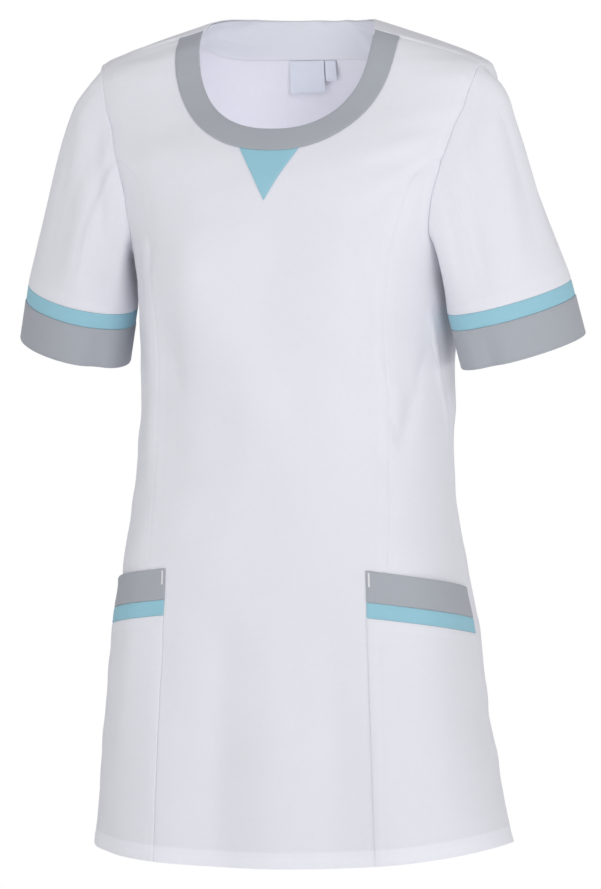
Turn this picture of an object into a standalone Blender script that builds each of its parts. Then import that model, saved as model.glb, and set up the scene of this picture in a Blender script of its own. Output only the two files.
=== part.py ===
"""Medical tunic: short sleeves, banded round neck, princess seams and two patch pockets.

Metres, +Z up. The front faces -Y and the wearer's left is +X. The origin lies midway
between the two neck points, on the line where the shoulders carry the tunic.

The body is one smooth surface, described by an angle round the figure (0 at the centre
front, 90 degrees at the wearer's left, 180 at the centre back) and a height. Seams and
edges are lines drawn on it, and each cut piece is the net of points inside its lines,
given a wall.
"""
from collections import namedtuple
from math import cos, pi, radians, sin

import bpy
import numpy as np
from mathutils.geometry import delaunay_2d_cdt

# Cloth
WALL = 0.0012
SEAM_GAP = 0.0003
LAYER = WALL + SEAM_GAP

# Net: size of a cell, how far its points stay clear of a line (share of a cell), and the
# distance within which two points of it are one
CELL = 0.0240
LINE_CLEARANCE = 0.42
SAME = 1e-6

# Hem
HEM_CENTRE = -0.7865
HEM_SIDE_RISE = 0.0175

# Side vents: the flare beside them stands out, comes forward and lifts
VENT_TOP = -0.650
VENT_SPREAD = radians(2.6)
FLARE_LEFT = 0.026
FLARE_RIGHT = 0.003
FLARE_ANGLE = radians(84.0)
FLARE_REACH = radians(32.0)
FLARE_FORWARD = 0.3
FLARE_LIFT = 0.10

# Neck: the back edge rises from the neck points the sooner, the higher its power
NECK_HALF_WIDTH = 0.084
NECK_DEPTH = 0.094
NECK_SQUARENESS = 2.45
BACK_NECK_RISE = 0.0115
BACK_NECK_POWER = 7
BAND_HALF_WIDTH = 0.108
BAND_DEPTH = 0.1143
BAND_SQUARENESS = 2.25
TRIANGLE_HALF_WIDTH = 0.029
TRIANGLE_TIP = -0.161
FACING_HALF_WIDTH = 0.118
FACING_BOTTOM = -0.0248
FACING_FLAT = radians(16.0)
FACING_SCOOP = radians(42.0)

# Shoulder seam: its angle round the body at the neck
SEAM_ANGLE_NECK = radians(50.5)

# Armhole: its ends, and how far it reaches to the front and back, near its tip and its pit
TIP_HEIGHT = -0.033
PIT_HEIGHT = -0.212
ARMHOLE_TIP_Y = -0.020
ARMHOLE_PIT_Y = -0.010
ARMHOLE_FRONT_REACH = (0.029, 0.085)
ARMHOLE_BACK_REACH = (0.036, 0.062)
ARMHOLE_GROWTH = 1.5
ARMHOLE_STEPS = 13

# Princess seam: where it starts its turn towards the armhole, the points of that turn and
# the height at which it meets the armhole
PRINCESS_BEND = -0.152
PRINCESS_TURN = (-0.145, -0.138, -0.1325, -0.128)
PRINCESS_TOP = -0.121

# Sleeve: the cuff's ring, and how the cloth leaves the armhole at the top (cap) and at the
# underarm (pit)
CUFF_CENTRE_X = 0.2215
CUFF_CENTRE_Y = 0.002
CUFF_CENTRE_Z = -0.302
CUFF_BROAD = 0.0595
CUFF_NARROW = 0.0485
CUFF_TURN = radians(40.0)
CUFF_RISE_OUT = 0.217
CUFF_RISE_BACK = 0.205
CUFF_WIDTH = 0.0385
STRIPE_WIDTH = 0.015
CUFF_PROUD = 0.0006
CAP_FOLD = radians(-6.0)
PIT_FOLD = radians(105.0)
UNDERARM_DROP = 0.35
PIT_CLEARANCE = 1.6
SLEEVE_PULL = 0.36
SLEEVE_ROWS = 8

# Pockets
POCKET_MOUTH_INNER = -0.506
POCKET_MOUTH_OUTER = -0.526
POCKET_BAND = 0.0298
POCKET_STRIPE = 0.0147
POCKET_INNER_TOP = 0.0973
POCKET_INNER_HEM = 0.1085
POCKET_GAPE = 0.0028
GAPE_FROM = radians(38.0)
GAPE_LENGTH = 0.10

# Label and size tab, inside the back neck
LABEL_WIDTH = 0.034
LABEL_LENGTH = 0.029
LABEL_CENTRE = -0.009
TAB_WIDTH = 0.011
TAB_LENGTH = 0.018
TAB_CENTRE = 0.0145

# Colours and roughness
WHITE = (0.80, 0.80, 0.82)
FACING_WHITE = (0.72, 0.74, 0.78)
GREY = (0.40, 0.42, 0.46)
BLUE = (0.31, 0.57, 0.68)
LABEL_WHITE = (0.86, 0.86, 0.88)
CLOTH_ROUGHNESS = 0.85

# Rings round the body, from the hem up. "side" is the Y of the ring's widest points,
# and "square" is how far its corners fill out beyond an ellipse.
Ring = namedtuple("Ring", "height half_width front back side square")
RINGS = (
    Ring(-0.800, 0.1895, -0.1190, 0.119, 0.014, 0.070),
    Ring(-0.625, 0.1765, -0.1165, 0.111, 0.010, 0.075),
    Ring(-0.568, 0.1700, -0.1160, 0.106, 0.006, 0.075),
    Ring(-0.511, 0.1610, -0.1150, 0.094, 0.002, 0.075),
    Ring(-0.454, 0.1545, -0.1110, 0.080, -0.003, 0.055),
    Ring(-0.397, 0.1510, -0.1090, 0.072, 0.000, 0.035),
    Ring(-0.350, 0.1500, -0.1120, 0.075, 0.012, 0.030),
    Ring(-0.300, 0.1500, -0.1160, 0.082, 0.010, 0.030),
    Ring(-0.240, 0.1505, -0.1200, 0.090, 0.003, 0.035),
    Ring(-0.212, 0.1545, -0.1190, 0.093, 0.000, 0.035),
    Ring(-0.160, 0.1720, -0.1125, 0.096, -0.004, 0.025),
    Ring(-0.120, 0.1870, -0.0990, 0.094, -0.006, 0.030),
    Ring(-0.095, 0.1920, -0.0840, 0.090, -0.006, 0.035),
    Ring(-0.070, 0.1935, -0.0665, 0.084, -0.006, 0.065),
    Ring(-0.045, 0.1930, -0.0540, 0.075, -0.006, 0.075),
    Ring(-0.033, 0.1905, -0.0500, 0.070, -0.006, 0.050),
    Ring(-0.0228, 0.1735, -0.0480, 0.066, -0.004, 0.020),
    Ring(-0.0114, 0.1438, -0.0460, 0.061, -0.002, 0.005),
    Ring(0.000, 0.1090, -0.0430, 0.055, 0.000, 0.0),
    Ring(0.006, 0.0900, -0.0410, 0.052, 0.001, 0.0),
    Ring(0.014, 0.0640, -0.0380, 0.048, 0.002, 0.0),
)

# Side seam: its angle round the body at each height
SideSeam = namedtuple("SideSeam", "height angle")
SIDE_SEAM = (
    SideSeam(-0.800, radians(94.0)),
    SideSeam(-0.420, radians(93.0)),
    SideSeam(-0.365, radians(85.0)),
    SideSeam(-0.325, radians(75.0)),
    SideSeam(-0.285, radians(69.0)),
    SideSeam(-0.212, radians(87.5)),
)

# Princess seam: its distance from the centre front at each height
PrincessSeam = namedtuple("PrincessSeam", "height half_width")
PRINCESS_SEAM = (
    PrincessSeam(-0.800, 0.130),
    PrincessSeam(-0.510, 0.117),
    PrincessSeam(-0.370, 0.113),
    PrincessSeam(-0.300, 0.110),
    PrincessSeam(-0.220, 0.1155),
    PrincessSeam(-0.180, 0.1235),
    PrincessSeam(-0.152, 0.1300),
    PrincessSeam(-0.138, 0.1370),
    PrincessSeam(-0.128, 0.1480),
)

# Bust of a general figure, the same on both sides
BUST_X = 0.082
BUST_HEIGHT = -0.228
BUST_DEPTH = 0.012
BUST_WIDTH = 0.044
BUST_ABOVE = 0.052
BUST_BELOW = 0.085

# Soft folds: where each lies (angle, height), its half width and half length along the
# cloth, how far it stands out (in, where negative) and how far it leans sideways per unit
Fold = namedtuple("Fold", "angle height half_width half_length depth lean")
FOLDS = (
    Fold(radians(-14.0), -0.730, 0.020, 0.125, -0.0042, 0.03),
    Fold(radians(-24.0), -0.740, 0.020, 0.110, 0.0030, 0.05),
    Fold(radians(2.0), -0.720, 0.026, 0.120, 0.0034, 0.00),
    Fold(radians(21.0), -0.735, 0.019, 0.105, -0.0036, -0.04),
    Fold(radians(31.0), -0.750, 0.024, 0.100, 0.0026, -0.06),
    Fold(radians(-47.0), -0.740, 0.026, 0.100, -0.0024, 0.00),
    Fold(radians(36.0), -0.375, 0.015, 0.048, -0.0034, -0.42),
    Fold(radians(52.0), -0.385, 0.015, 0.040, -0.0030, 0.40),
    Fold(radians(44.0), -0.345, 0.014, 0.035, 0.0026, 0.00),
    Fold(radians(-8.0), -0.330, 0.034, 0.100, 0.0030, -0.28),
    Fold(radians(-37.0), -0.330, 0.018, 0.070, -0.0026, 0.10),
    Fold(radians(40.0), -0.148, 0.010, 0.026, -0.0026, 0.70),
    Fold(radians(160.0), -0.400, 0.022, 0.070, -0.0036, 0.12),
    Fold(radians(-157.0), -0.395, 0.022, 0.075, -0.0038, -0.10),
    Fold(radians(178.0), -0.420, 0.030, 0.090, 0.0026, 0.00),
    Fold(radians(140.0), -0.730, 0.028, 0.120, -0.0042, 0.06),
    Fold(radians(163.0), -0.740, 0.030, 0.120, 0.0040, 0.00),
    Fold(radians(-174.0), -0.730, 0.026, 0.125, -0.0040, 0.02),
    Fold(radians(-143.0), -0.735, 0.030, 0.115, 0.0036, -0.05),
    Fold(radians(132.0), -0.170, 0.016, 0.050, -0.0026, 0.30),
    Fold(radians(-133.0), -0.165, 0.016, 0.050, -0.0026, -0.30),
)
FOLD_RADIUS = 0.15

# Soft folds of the sleeves: angle round the sleeve from its top line towards the front,
# share of the way down, half widths in the same terms, and how far it stands out
SleeveFold = namedtuple("SleeveFold", "angle down half_angle half_down depth")
SLEEVE_FOLDS = {
    "left": (
        SleeveFold(radians(32.0), 0.30, radians(48.0), 0.34, 0.0090),
        SleeveFold(radians(-20.0), 0.30, radians(36.0), 0.26, 0.0045),
        SleeveFold(radians(62.0), 0.62, radians(15.0), 0.34, 0.0030),
        SleeveFold(radians(95.0), 0.70, radians(14.0), 0.30, -0.0032),
        SleeveFold(radians(25.0), 0.45, radians(16.0), 0.30, -0.0020),
        SleeveFold(radians(235.0), 0.55, radians(20.0), 0.35, -0.0030),
        SleeveFold(radians(290.0), 0.60, radians(20.0), 0.35, 0.0026),
    ),
    "right": (
        SleeveFold(radians(32.0), 0.30, radians(48.0), 0.34, 0.0090),
        SleeveFold(radians(-20.0), 0.30, radians(36.0), 0.26, 0.0045),
        SleeveFold(radians(52.0), 0.35, radians(14.0), 0.34, 0.0034),
        SleeveFold(radians(78.0), 0.50, radians(13.0), 0.36, -0.0032),
        SleeveFold(radians(105.0), 0.70, radians(15.0), 0.30, 0.0026),
        SleeveFold(radians(240.0), 0.55, radians(20.0), 0.35, -0.0030),
        SleeveFold(radians(295.0), 0.60, radians(20.0), 0.35, 0.0026),
    ),
}


def smooth_table(rows):
    """Smooth function through a table's rows, with no overshoot between them."""
    table = np.array(rows, float)
    table = table[np.argsort(table[:, 0])]
    keys, values = table[:, 0], table[:, 1:]
    spans = np.diff(keys)[:, None]
    rates = np.diff(values, axis=0) / spans
    slopes = np.empty_like(values)
    slopes[0], slopes[-1] = rates[0], rates[-1]
    before, after = rates[:-1], rates[1:]
    weight_before = 2 * spans[1:] + spans[:-1]
    weight_after = spans[1:] + 2 * spans[:-1]
    level = before * after <= 0
    safe_before = np.where(level, 1.0, before)
    safe_after = np.where(level, 1.0, after)
    mean = (weight_before + weight_after) / (weight_before / safe_before + weight_after / safe_after)
    slopes[1:-1] = np.where(level, 0.0, mean)

    def read(key):
        key = np.clip(np.asarray(key, float), keys[0], keys[-1])
        row = np.clip(np.searchsorted(keys, key, side="right") - 1, 0, len(keys) - 2)
        span = (keys[row + 1] - keys[row])[..., None]
        t = ((key - keys[row])[..., None]) / span
        start = (2 * t**3 - 3 * t**2 + 1) * values[row] + (t**3 - 2 * t**2 + t) * span * slopes[row]
        end = (3 * t**2 - 2 * t**3) * values[row + 1] + (t**3 - t**2) * span * slopes[row + 1]
        return start + end

    return read


ring_at = smooth_table(RINGS)
side_seam_at = smooth_table(SIDE_SEAM)
princess_seam_at = smooth_table(PRINCESS_SEAM)


def hem_height(angle):
    """The hem dips at the centre front and back and rises at the side seams."""
    return HEM_CENTRE + HEM_SIDE_RISE * np.sin(angle) ** 2


def plain_body(angle, height):
    """The body without folds: rings, bust and the flare beside the vents."""
    angle, height = np.broadcast_arrays(np.asarray(angle, float), np.asarray(height, float))
    half_width, front, back, side, square = np.moveaxis(ring_at(height), -1, 0)
    across = (np.sin(angle) + square * np.sin(3 * angle)) / (1 - square)
    along = (np.cos(angle) - square * np.cos(3 * angle)) / (1 - square)
    x = half_width * across
    y = side + np.where(along > 0, front - side, side - back) * along
    above = height > BUST_HEIGHT
    spread = np.where(above, BUST_ABOVE, BUST_BELOW)
    bust = np.exp(-((np.abs(x) - BUST_X) / BUST_WIDTH) ** 2 - ((height - BUST_HEIGHT) / spread) ** 2)
    y = y - BUST_DEPTH * bust * np.clip(along, 0, None)
    drop = np.clip((VENT_TOP - height) / (VENT_TOP - HEM_CENTRE), 0, None)
    from_front = np.abs((angle + pi) % (2 * pi) - pi)
    near_vent = np.exp(-(((from_front - FLARE_ANGLE) / FLARE_REACH) ** 2))
    flare = np.where(np.sin(angle) > 0, FLARE_LEFT, FLARE_RIGHT) * drop * near_vent
    return np.stack([x + flare * np.sign(x), y - FLARE_FORWARD * flare, height + FLARE_LIFT * flare], -1)


def normal_of(surface, first, second, reach=1e-4):
    """Outward normal of a surface of two parameters."""
    along_first = surface(first + reach, second) - surface(first - reach, second)
    along_second = surface(first, second + reach) - surface(first, second - reach)
    normal = np.cross(along_first, along_second)
    return normal / np.linalg.norm(normal, axis=-1, keepdims=True)


def fold_depth(angle, height):
    """How far the soft folds stand out of the body."""
    depth = np.zeros(np.broadcast(angle, height).shape)
    for fold in FOLDS:
        turn = (angle - fold.angle + pi) % (2 * pi) - pi
        up = height - fold.height
        across = turn * FOLD_RADIUS - fold.lean * up
        depth = depth + fold.depth * np.exp(-((across / fold.half_width) ** 2) - (up / fold.half_length) ** 2)
    return depth


def body(angle, height):
    """A point of the cloth's middle surface."""
    normal = normal_of(plain_body, angle, height)
    return plain_body(angle, height) + normal * fold_depth(angle, height)[..., None]


def angle_where(axis, value, height, low, high):
    """The angle between low and high at which the plain body has that x (0) or y (1)."""
    height = np.asarray(height, float)
    low = np.full(height.shape, low)
    high = np.full(height.shape, high)
    low_side = np.sign(plain_body(low, height)[..., axis] - value)
    for _ in range(48):
        middle = (low + high) / 2
        same = np.sign(plain_body(middle, height)[..., axis] - value) == low_side
        low = np.where(same, middle, low)
        high = np.where(same, high, middle)
    return (low + high) / 2


# The net is drawn in flat coordinates: the angle times a radius, and the length up the
# side and over the shoulder, so that its cells stay near square on the cloth.
NET_RADIUS = 0.15
PROFILE_HEIGHTS = np.linspace(-0.80, 0.014, 600)
PROFILE_WIDTHS = ring_at(PROFILE_HEIGHTS)[:, 0]
PROFILE_RISE = np.concatenate([[0.0], np.cumsum(np.hypot(np.diff(PROFILE_HEIGHTS), np.diff(PROFILE_WIDTHS)))])


def to_net(line):
    """(angle, height) pairs to flat net coordinates."""
    line = np.asarray(line, float)
    rise = np.interp(line[:, 1], PROFILE_HEIGHTS, PROFILE_RISE)
    return np.stack([line[:, 0] * NET_RADIUS, rise], -1)


def from_net(flat):
    """Flat net coordinates to (angle, height)."""
    height = np.interp(flat[:, 1], PROFILE_RISE, PROFILE_HEIGHTS)
    return np.stack([flat[:, 0] / NET_RADIUS, height], -1)


def steps(start, end, count, *stops):
    """Even steps from start to end, each stop included in place of the nearest step."""
    values = np.linspace(start, end, count + 1)
    for stop in stops:
        nearest = 1 + np.argmin(np.abs(values[1:-1] - stop))
        values[nearest] = stop
    return np.sort(values) if end > start else np.sort(values)[::-1]


def mirrored(line):
    """The same line on the wearer's right, run the other way."""
    return np.asarray(line)[::-1] * (-1, 1)


def shoulder_line():
    """Shoulder seam from neck point to shoulder tip, with the band's end as a stop."""
    share = np.linspace(0, 1, 9)
    line = shoulder_point(share)
    x = plain_body(line[:, 0], line[:, 1])[:, 0]
    line[np.argmin(np.abs(x - BAND_HALF_WIDTH))] = shoulder_point(share_at(BAND_HALF_WIDTH))
    line[np.argmin(np.abs(x - FACING_HALF_WIDTH))] = shoulder_point(share_at(FACING_HALF_WIDTH))
    return line


def shoulder_point(share):
    share = np.asarray(share, float)
    angle = SEAM_ANGLE_NECK + (armhole_point(0.0)[0] - SEAM_ANGLE_NECK) * share
    return np.stack([angle, TIP_HEIGHT * share], -1)


def share_at(x):
    """Share of the shoulder seam at which it lies that far from the middle."""
    share = np.linspace(0, 1, 400)
    line = shoulder_point(share)
    return float(np.interp(x, plain_body(line[:, 0], line[:, 1])[:, 0], share))


def armhole_point(turn):
    """Armhole at a turn from its tip (0), down the front (positive) or the back, to the pit (pi)."""
    height = (TIP_HEIGHT + PIT_HEIGHT) / 2 + (TIP_HEIGHT - PIT_HEIGHT) / 2 * cos(turn)
    level = (height - PIT_HEIGHT) / (TIP_HEIGHT - PIT_HEIGHT)
    at_tip, at_pit = ARMHOLE_FRONT_REACH if turn > 0 else ARMHOLE_BACK_REACH
    reach = at_tip + (at_pit - at_tip) * (1 - level) ** ARMHOLE_GROWTH
    y = ARMHOLE_PIT_Y + (ARMHOLE_TIP_Y - ARMHOLE_PIT_Y) * level - reach * sin(turn)
    angle = float(angle_where(1, y, height, radians(20), radians(160)))
    return angle, height


def armhole_turn(height):
    """The turn at which the armhole passes that height."""
    middle, half = (TIP_HEIGHT + PIT_HEIGHT) / 2, (TIP_HEIGHT - PIT_HEIGHT) / 2
    return float(np.arccos((height - middle) / half))


def armhole_turns(front):
    """Turns of half the armhole, tip to pit; the front half passes the princess seam's top."""
    stops = (armhole_turn(PRINCESS_TOP),) if front else ()
    return steps(0, pi, ARMHOLE_STEPS, *stops)


def armhole_line(front):
    """Half the armhole, from pit to tip."""
    turns = armhole_turns(front)[::-1] * (1 if front else -1)
    return np.array([armhole_point(turn) for turn in turns])


def neck_curve(half_width, top, bottom, squareness, count, low, high):
    """A scooped neck line, drawn in front view, from the middle out to its end."""
    share = np.linspace(0, pi / 2, count + 1)
    x = half_width * np.sin(share) ** (2 / squareness)
    height = top - (top - bottom) * np.cos(share) ** (2 / squareness)
    angle = angle_where(0, x, height, low, high)
    return np.stack([angle, height], -1)


def princess_line():
    """Princess seam from hem to armhole."""
    heights = np.append(steps(HEM_CENTRE, PRINCESS_BEND, 26), PRINCESS_TURN)
    angles = angle_where(0, princess_seam_at(heights)[:, 0], heights, 0.0, pi / 2)
    heights[0] = hem_height(angles[0])
    return np.vstack([np.stack([angles, heights], -1), [armhole_point(armhole_turn(PRINCESS_TOP))]])


def side_line(sheet):
    """Side seam from hem to armpit, with stops where the pocket's seams meet it.

    Below the vent's top the front edge (sheet -1) and the back edge (sheet 1) part.
    """
    stripe_top = POCKET_MOUTH_OUTER - POCKET_BAND
    stops = (POCKET_MOUTH_OUTER, stripe_top, stripe_top - POCKET_STRIPE, VENT_TOP)
    heights = steps(HEM_CENTRE + HEM_SIDE_RISE, PIT_HEIGHT, 25, *stops)
    line = np.stack([side_seam_at(heights)[:, 0] + sheet * vent_spread(heights), heights], -1)
    line[-1] = armhole_point(pi)
    line[0, 1] = hem_height(line[0, 0])
    return line


def vent_spread(height):
    """Angle by which each edge of a side vent stands back from the side seam's line."""
    return VENT_SPREAD * np.clip((VENT_TOP - height) / (VENT_TOP - HEM_CENTRE), 0, 1)


def hem_line(start, end, count, *stops):
    """The hem from one angle to another."""
    angles = steps(start, end, count, *stops)
    return np.stack([angles, hem_height(angles)], -1)


def pocket_lines():
    """Inner edge of a pocket from hem to mouth, and its three slanted lines."""
    heights = steps(HEM_CENTRE, POCKET_MOUTH_INNER, 13,
                    POCKET_MOUTH_INNER - POCKET_BAND, POCKET_MOUTH_INNER - POCKET_BAND - POCKET_STRIPE)
    share = (heights - HEM_CENTRE) / (POCKET_MOUTH_INNER - HEM_CENTRE)
    x = POCKET_INNER_HEM + (POCKET_INNER_TOP - POCKET_INNER_HEM) * share
    inner = np.stack([angle_where(0, x, heights, 0.0, pi / 2), heights], -1)
    inner[0, 1] = hem_height(inner[0, 0])
    slanted = []
    for drop in (0.0, POCKET_BAND, POCKET_BAND + POCKET_STRIPE):
        start = inner[np.argmin(np.abs(heights - (POCKET_MOUTH_INNER - drop)))]
        end_height = POCKET_MOUTH_OUTER - drop
        end = np.array([side_seam_at(end_height)[..., 0].item(), end_height])
        share = np.linspace(0, 1, 9)[:, None]
        slanted.append(start + (end - start) * share)
    return inner, slanted


def inside(shape, points):
    """Which of the points lie inside a closed outline."""
    x, y = points[:, 0], points[:, 1]
    result = np.zeros(len(points), bool)
    for (x0, y0), (x1, y1) in zip(shape, np.roll(shape, -1, axis=0)):
        crosses = (y0 > y) != (y1 > y)
        rise = y1 - y0 if y1 != y0 else 1.0
        result ^= crosses & (x < (x1 - x0) * (y - y0) / rise + x0)
    return result


def distance_to(lines, points):
    """Distance from each point to the nearest of the lines."""
    nearest = np.full(len(points), np.inf)
    for line in lines:
        for start, end in zip(line[:-1], line[1:]):
            span = end - start
            share = np.clip((points - start) @ span / (span @ span), 0, 1)
            gap = np.linalg.norm(points - start - share[:, None] * span, axis=1)
            nearest = np.minimum(nearest, gap)
    return nearest


class Net:
    """A net of points over one sheet of the body, drawn so that its cells follow every line."""

    def __init__(self, outline, lines):
        flat_outline = to_net(outline)
        flat_lines = [to_net(line) for line in lines]
        closed = np.vstack([flat_outline, flat_outline[:1]])
        fill = self.fill_points(flat_outline, [closed] + flat_lines)
        points, edges = [], []
        for line in [closed] + flat_lines:
            first = len(points)
            points += [tuple(point) for point in line]
            edges += [(first + i, first + i + 1) for i in range(len(line) - 1)]
        points += [tuple(point) for point in fill]
        vertices, _, cells, _, _, _ = delaunay_2d_cdt(points, edges, [], 0, SAME)
        self.flat = np.array([tuple(vertex) for vertex in vertices])
        self.places = from_net(self.flat)
        cells = np.array(cells)
        centres = self.flat[cells].mean(axis=1)
        kept = inside(flat_outline, centres)
        self.cells, self.centres = cells[kept], centres[kept]

    @staticmethod
    def fill_points(outline, lines):
        """Points in staggered rows, spaced evenly along the cloth and clear of the lines."""
        low, high = outline.min(axis=0), outline.max(axis=0)
        rows = np.arange(low[1] + CELL / 2, high[1], CELL)
        points = []
        for number, row in enumerate(rows):
            across = np.linspace(low[0], high[0], 240)
            places = from_net(np.stack([across, np.full(240, row)], -1))
            cloth = plain_body(places[:, 0], places[:, 1])
            length = np.concatenate([[0.0], np.cumsum(np.linalg.norm(np.diff(cloth, axis=0), axis=1))])
            wanted = np.arange(CELL * (0.5 if number % 2 else 1.0), length[-1], CELL)
            points += [(x, row) for x in np.interp(wanted, length, across)]
        points = np.array(points)
        points = points[inside(outline, points)]
        return points[distance_to(lines, points) > CELL * LINE_CLEARANCE]

    def cells_in(self, outline):
        """Cells inside a closed outline, given as an (angle, height) line."""
        return self.cells[inside(to_net(outline), self.centres)]


def edge_loops(cells):
    """Directed edges that only one cell has."""
    directed = {}
    for cell in cells:
        for start, end in zip(cell, np.roll(cell, -1)):
            directed[(int(start), int(end))] = True
    return [(start, end) for start, end in directed if (end, start) not in directed]


def inset(points, normals, edges, distance):
    """Draw the rim in by a distance, along the cloth."""
    inward = {}
    for start, end in edges:
        run = points[end] - points[start]
        side = np.cross(normals[start] + normals[end], run)
        side /= np.linalg.norm(side)
        inward.setdefault(start, []).append(side)
        inward.setdefault(end, []).append(side)
    moved = points.copy()
    for vertex, sides in inward.items():
        total = sum(sides)
        share = max(0.35, 1 + float(sides[0] @ sides[-1]))
        moved[vertex] += total / share * distance
    return moved


def material(name, colour):
    found = bpy.data.materials.get(name)
    if found:
        return found
    made = bpy.data.materials.new(name)
    made.use_nodes = True
    shader = made.node_tree.nodes["Principled BSDF"]
    shader.inputs["Base Color"].default_value = (*colour, 1.0)
    shader.inputs["Roughness"].default_value = CLOTH_ROUGHNESS
    shader.inputs["Metallic"].default_value = 0.0
    return made


def add_object(name, vertices, faces, colour_name, colour):
    mesh = bpy.data.meshes.new(name)
    mesh.from_pydata([tuple(vertex) for vertex in vertices], [], [tuple(int(i) for i in face) for face in faces])
    mesh.shade_smooth()
    mesh.set_sharp_from_angle(angle=radians(50.0))
    mesh.materials.append(material(colour_name, colour))
    piece = bpy.data.objects.new(name, mesh)
    bpy.context.scene.collection.objects.link(piece)
    return piece


def cut_piece(name, net, cells, layer, colour_name, colour, gape=None):
    """Give the net's cells a wall, as one closed piece of cloth."""
    used, cells = np.unique(cells, return_inverse=True)
    cells = cells.reshape(-1, 3)
    places = net.places[used]
    angle, height = places[:, 0], places[:, 1]
    points = body(angle, height)
    normals = normal_of(body, angle, height)
    facing = np.cross(points[cells[:, 1]] - points[cells[:, 0]], points[cells[:, 2]] - points[cells[:, 0]])
    if np.mean(np.sum(facing * normals[cells[:, 0]], axis=1)) < 0:
        cells = cells[:, ::-1]
    edges = edge_loops(cells)
    offset = layer + (gape(angle, height) if gape else 0.0)
    middle = points + normals * np.reshape(offset, (-1, 1))
    middle = inset(middle, normals, edges, SEAM_GAP / 2)
    outer = middle + normals * WALL / 2
    inner = middle - normals * WALL / 2
    count = len(middle)
    faces = [tuple(cell) for cell in cells] + [tuple(cell[::-1] + count) for cell in cells]
    for start, end in edges:
        faces.append((start, start + count, end + count))
        faces.append((start, end + count, end))
    add_object(name, np.vstack([outer, inner]), faces, colour_name, colour)


def pocket_gape(angle, height):
    """A pocket stands a little away from the body at the middle of its mouth."""
    outer = side_seam_at(height)[..., 0]
    across = np.clip((np.abs(angle) - GAPE_FROM) / (outer - GAPE_FROM), 0, 1)
    mouth = POCKET_MOUTH_INNER + (POCKET_MOUTH_OUTER - POCKET_MOUTH_INNER) * across
    down = np.clip((mouth - height) / GAPE_LENGTH, 0, 1)
    return POCKET_GAPE * np.sin(pi * across) * (1 - down) ** 2


def front_pieces():
    """Front panels, neck band, triangle and pockets, all on one net."""
    shoulder = shoulder_line()
    armhole = armhole_line(front=True)
    neck = neck_curve(NECK_HALF_WIDTH, 0.0, -NECK_DEPTH, NECK_SQUARENESS, 12, 0.0, pi / 2)
    neck[-1] = shoulder[0]
    band_top = shoulder_point(share_at(BAND_HALF_WIDTH))
    band = neck_curve(BAND_HALF_WIDTH, band_top[1], -BAND_DEPTH, BAND_SQUARENESS, 14, 0.0, pi / 2)
    band[-1] = band_top
    triangle_x = plain_body(band[:, 0], band[:, 1])[:, 0]
    corner = int(np.argmin(np.abs(triangle_x - TRIANGLE_HALF_WIDTH)))
    tip = np.array([0.0, TRIANGLE_TIP])
    share = np.linspace(0, 1, 4)[:, None]
    triangle_side = band[corner] + (tip - band[corner]) * share
    princess = princess_line()
    side = side_line(-1)
    inner, slanted = pocket_lines()
    hem = hem_line(-side[0, 0], side[0, 0], 26,
                   -princess[0, 0], -inner[0, 0], 0.0, inner[0, 0], princess[0, 0])

    climb = np.vstack([side[1:], armhole[1:], shoulder[::-1][1:], neck[::-1][1:]])
    outline = np.vstack([hem, climb, mirrored(climb[:-1])])
    lines = [band, mirrored(band), triangle_side, mirrored(triangle_side), princess, mirrored(princess),
             inner, mirrored(inner)]
    for line in slanted:
        lines += [line, mirrored(line)]
    net = Net(outline, lines)

    top = armhole[np.argmin(np.abs(armhole[:, 1] - PRINCESS_TOP)):]
    centre_climb = np.vstack([princess, top[1:], shoulder[::-1][1:], neck[::-1][1:]])
    hem_middle = hem[np.abs(hem[:, 0]) < princess[0, 0] - SAME]
    centre = np.vstack([hem_middle, centre_climb, mirrored(centre_climb[:-1])])
    cut_piece("front_centre", net, net.cells_in(centre), 0.0, "white_cloth", WHITE)

    low = armhole[:np.argmin(np.abs(armhole[:, 1] - PRINCESS_TOP)) + 1]
    hem_side = hem[hem[:, 0] > princess[0, 0] + SAME]
    side_panel = np.vstack([hem_side, side[1:], low[1:], princess[::-1][1:]])
    for hand, outline_of in (("left", side_panel), ("right", mirrored(side_panel))):
        cut_piece(f"front_side_{hand}", net, net.cells_in(outline_of), 0.0, "white_cloth", WHITE)

    seam_part = shoulder[: np.argmin(np.abs(shoulder[:, 1] - band_top[1])) + 1]
    inner_edge = np.vstack([neck[1:], seam_part[1:]])
    whole_band = np.vstack([mirrored(inner_edge), neck[:1], inner_edge, band[::-1][1:], mirrored(band)[::-1][1:-1]])
    cut_piece("neck_band", net, net.cells_in(whole_band), LAYER, "grey_cloth", GREY)
    upper = band[1: corner + 1]
    whole_triangle = np.vstack([mirrored(upper), band[:1], upper, triangle_side[1:],
                                mirrored(triangle_side)[1:-1]])
    cut_piece("neck_triangle", net, net.cells_in(whole_triangle), LAYER, "blue_cloth", BLUE)

    def strip(upper, lower):
        """Outline between two lines that cross the pocket."""
        on_inner = inner[(inner[:, 1] < upper[0, 1] - SAME) & (inner[:, 1] > lower[0, 1] + SAME)]
        on_side = side[(side[:, 1] < upper[-1, 1] - SAME) & (side[:, 1] > lower[-1, 1] + SAME)]
        return np.vstack([upper, on_side[::-1], lower[::-1], on_inner])

    hem_pocket = hem[hem[:, 0] > inner[0, 0] - SAME]
    shapes = {
        "pocket_band": (strip(slanted[0], slanted[1]), "grey_cloth", GREY),
        "pocket_stripe": (strip(slanted[1], slanted[2]), "blue_cloth", BLUE),
        "pocket": (strip(slanted[2], hem_pocket), "white_cloth", WHITE),
    }
    for name, (shape, colour_name, colour) in shapes.items():
        for hand, outline_of in (("left", shape), ("right", mirrored(shape))):
            cut_piece(f"{name}_{hand}", net, net.cells_in(outline_of), LAYER, colour_name, colour, pocket_gape)


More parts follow.
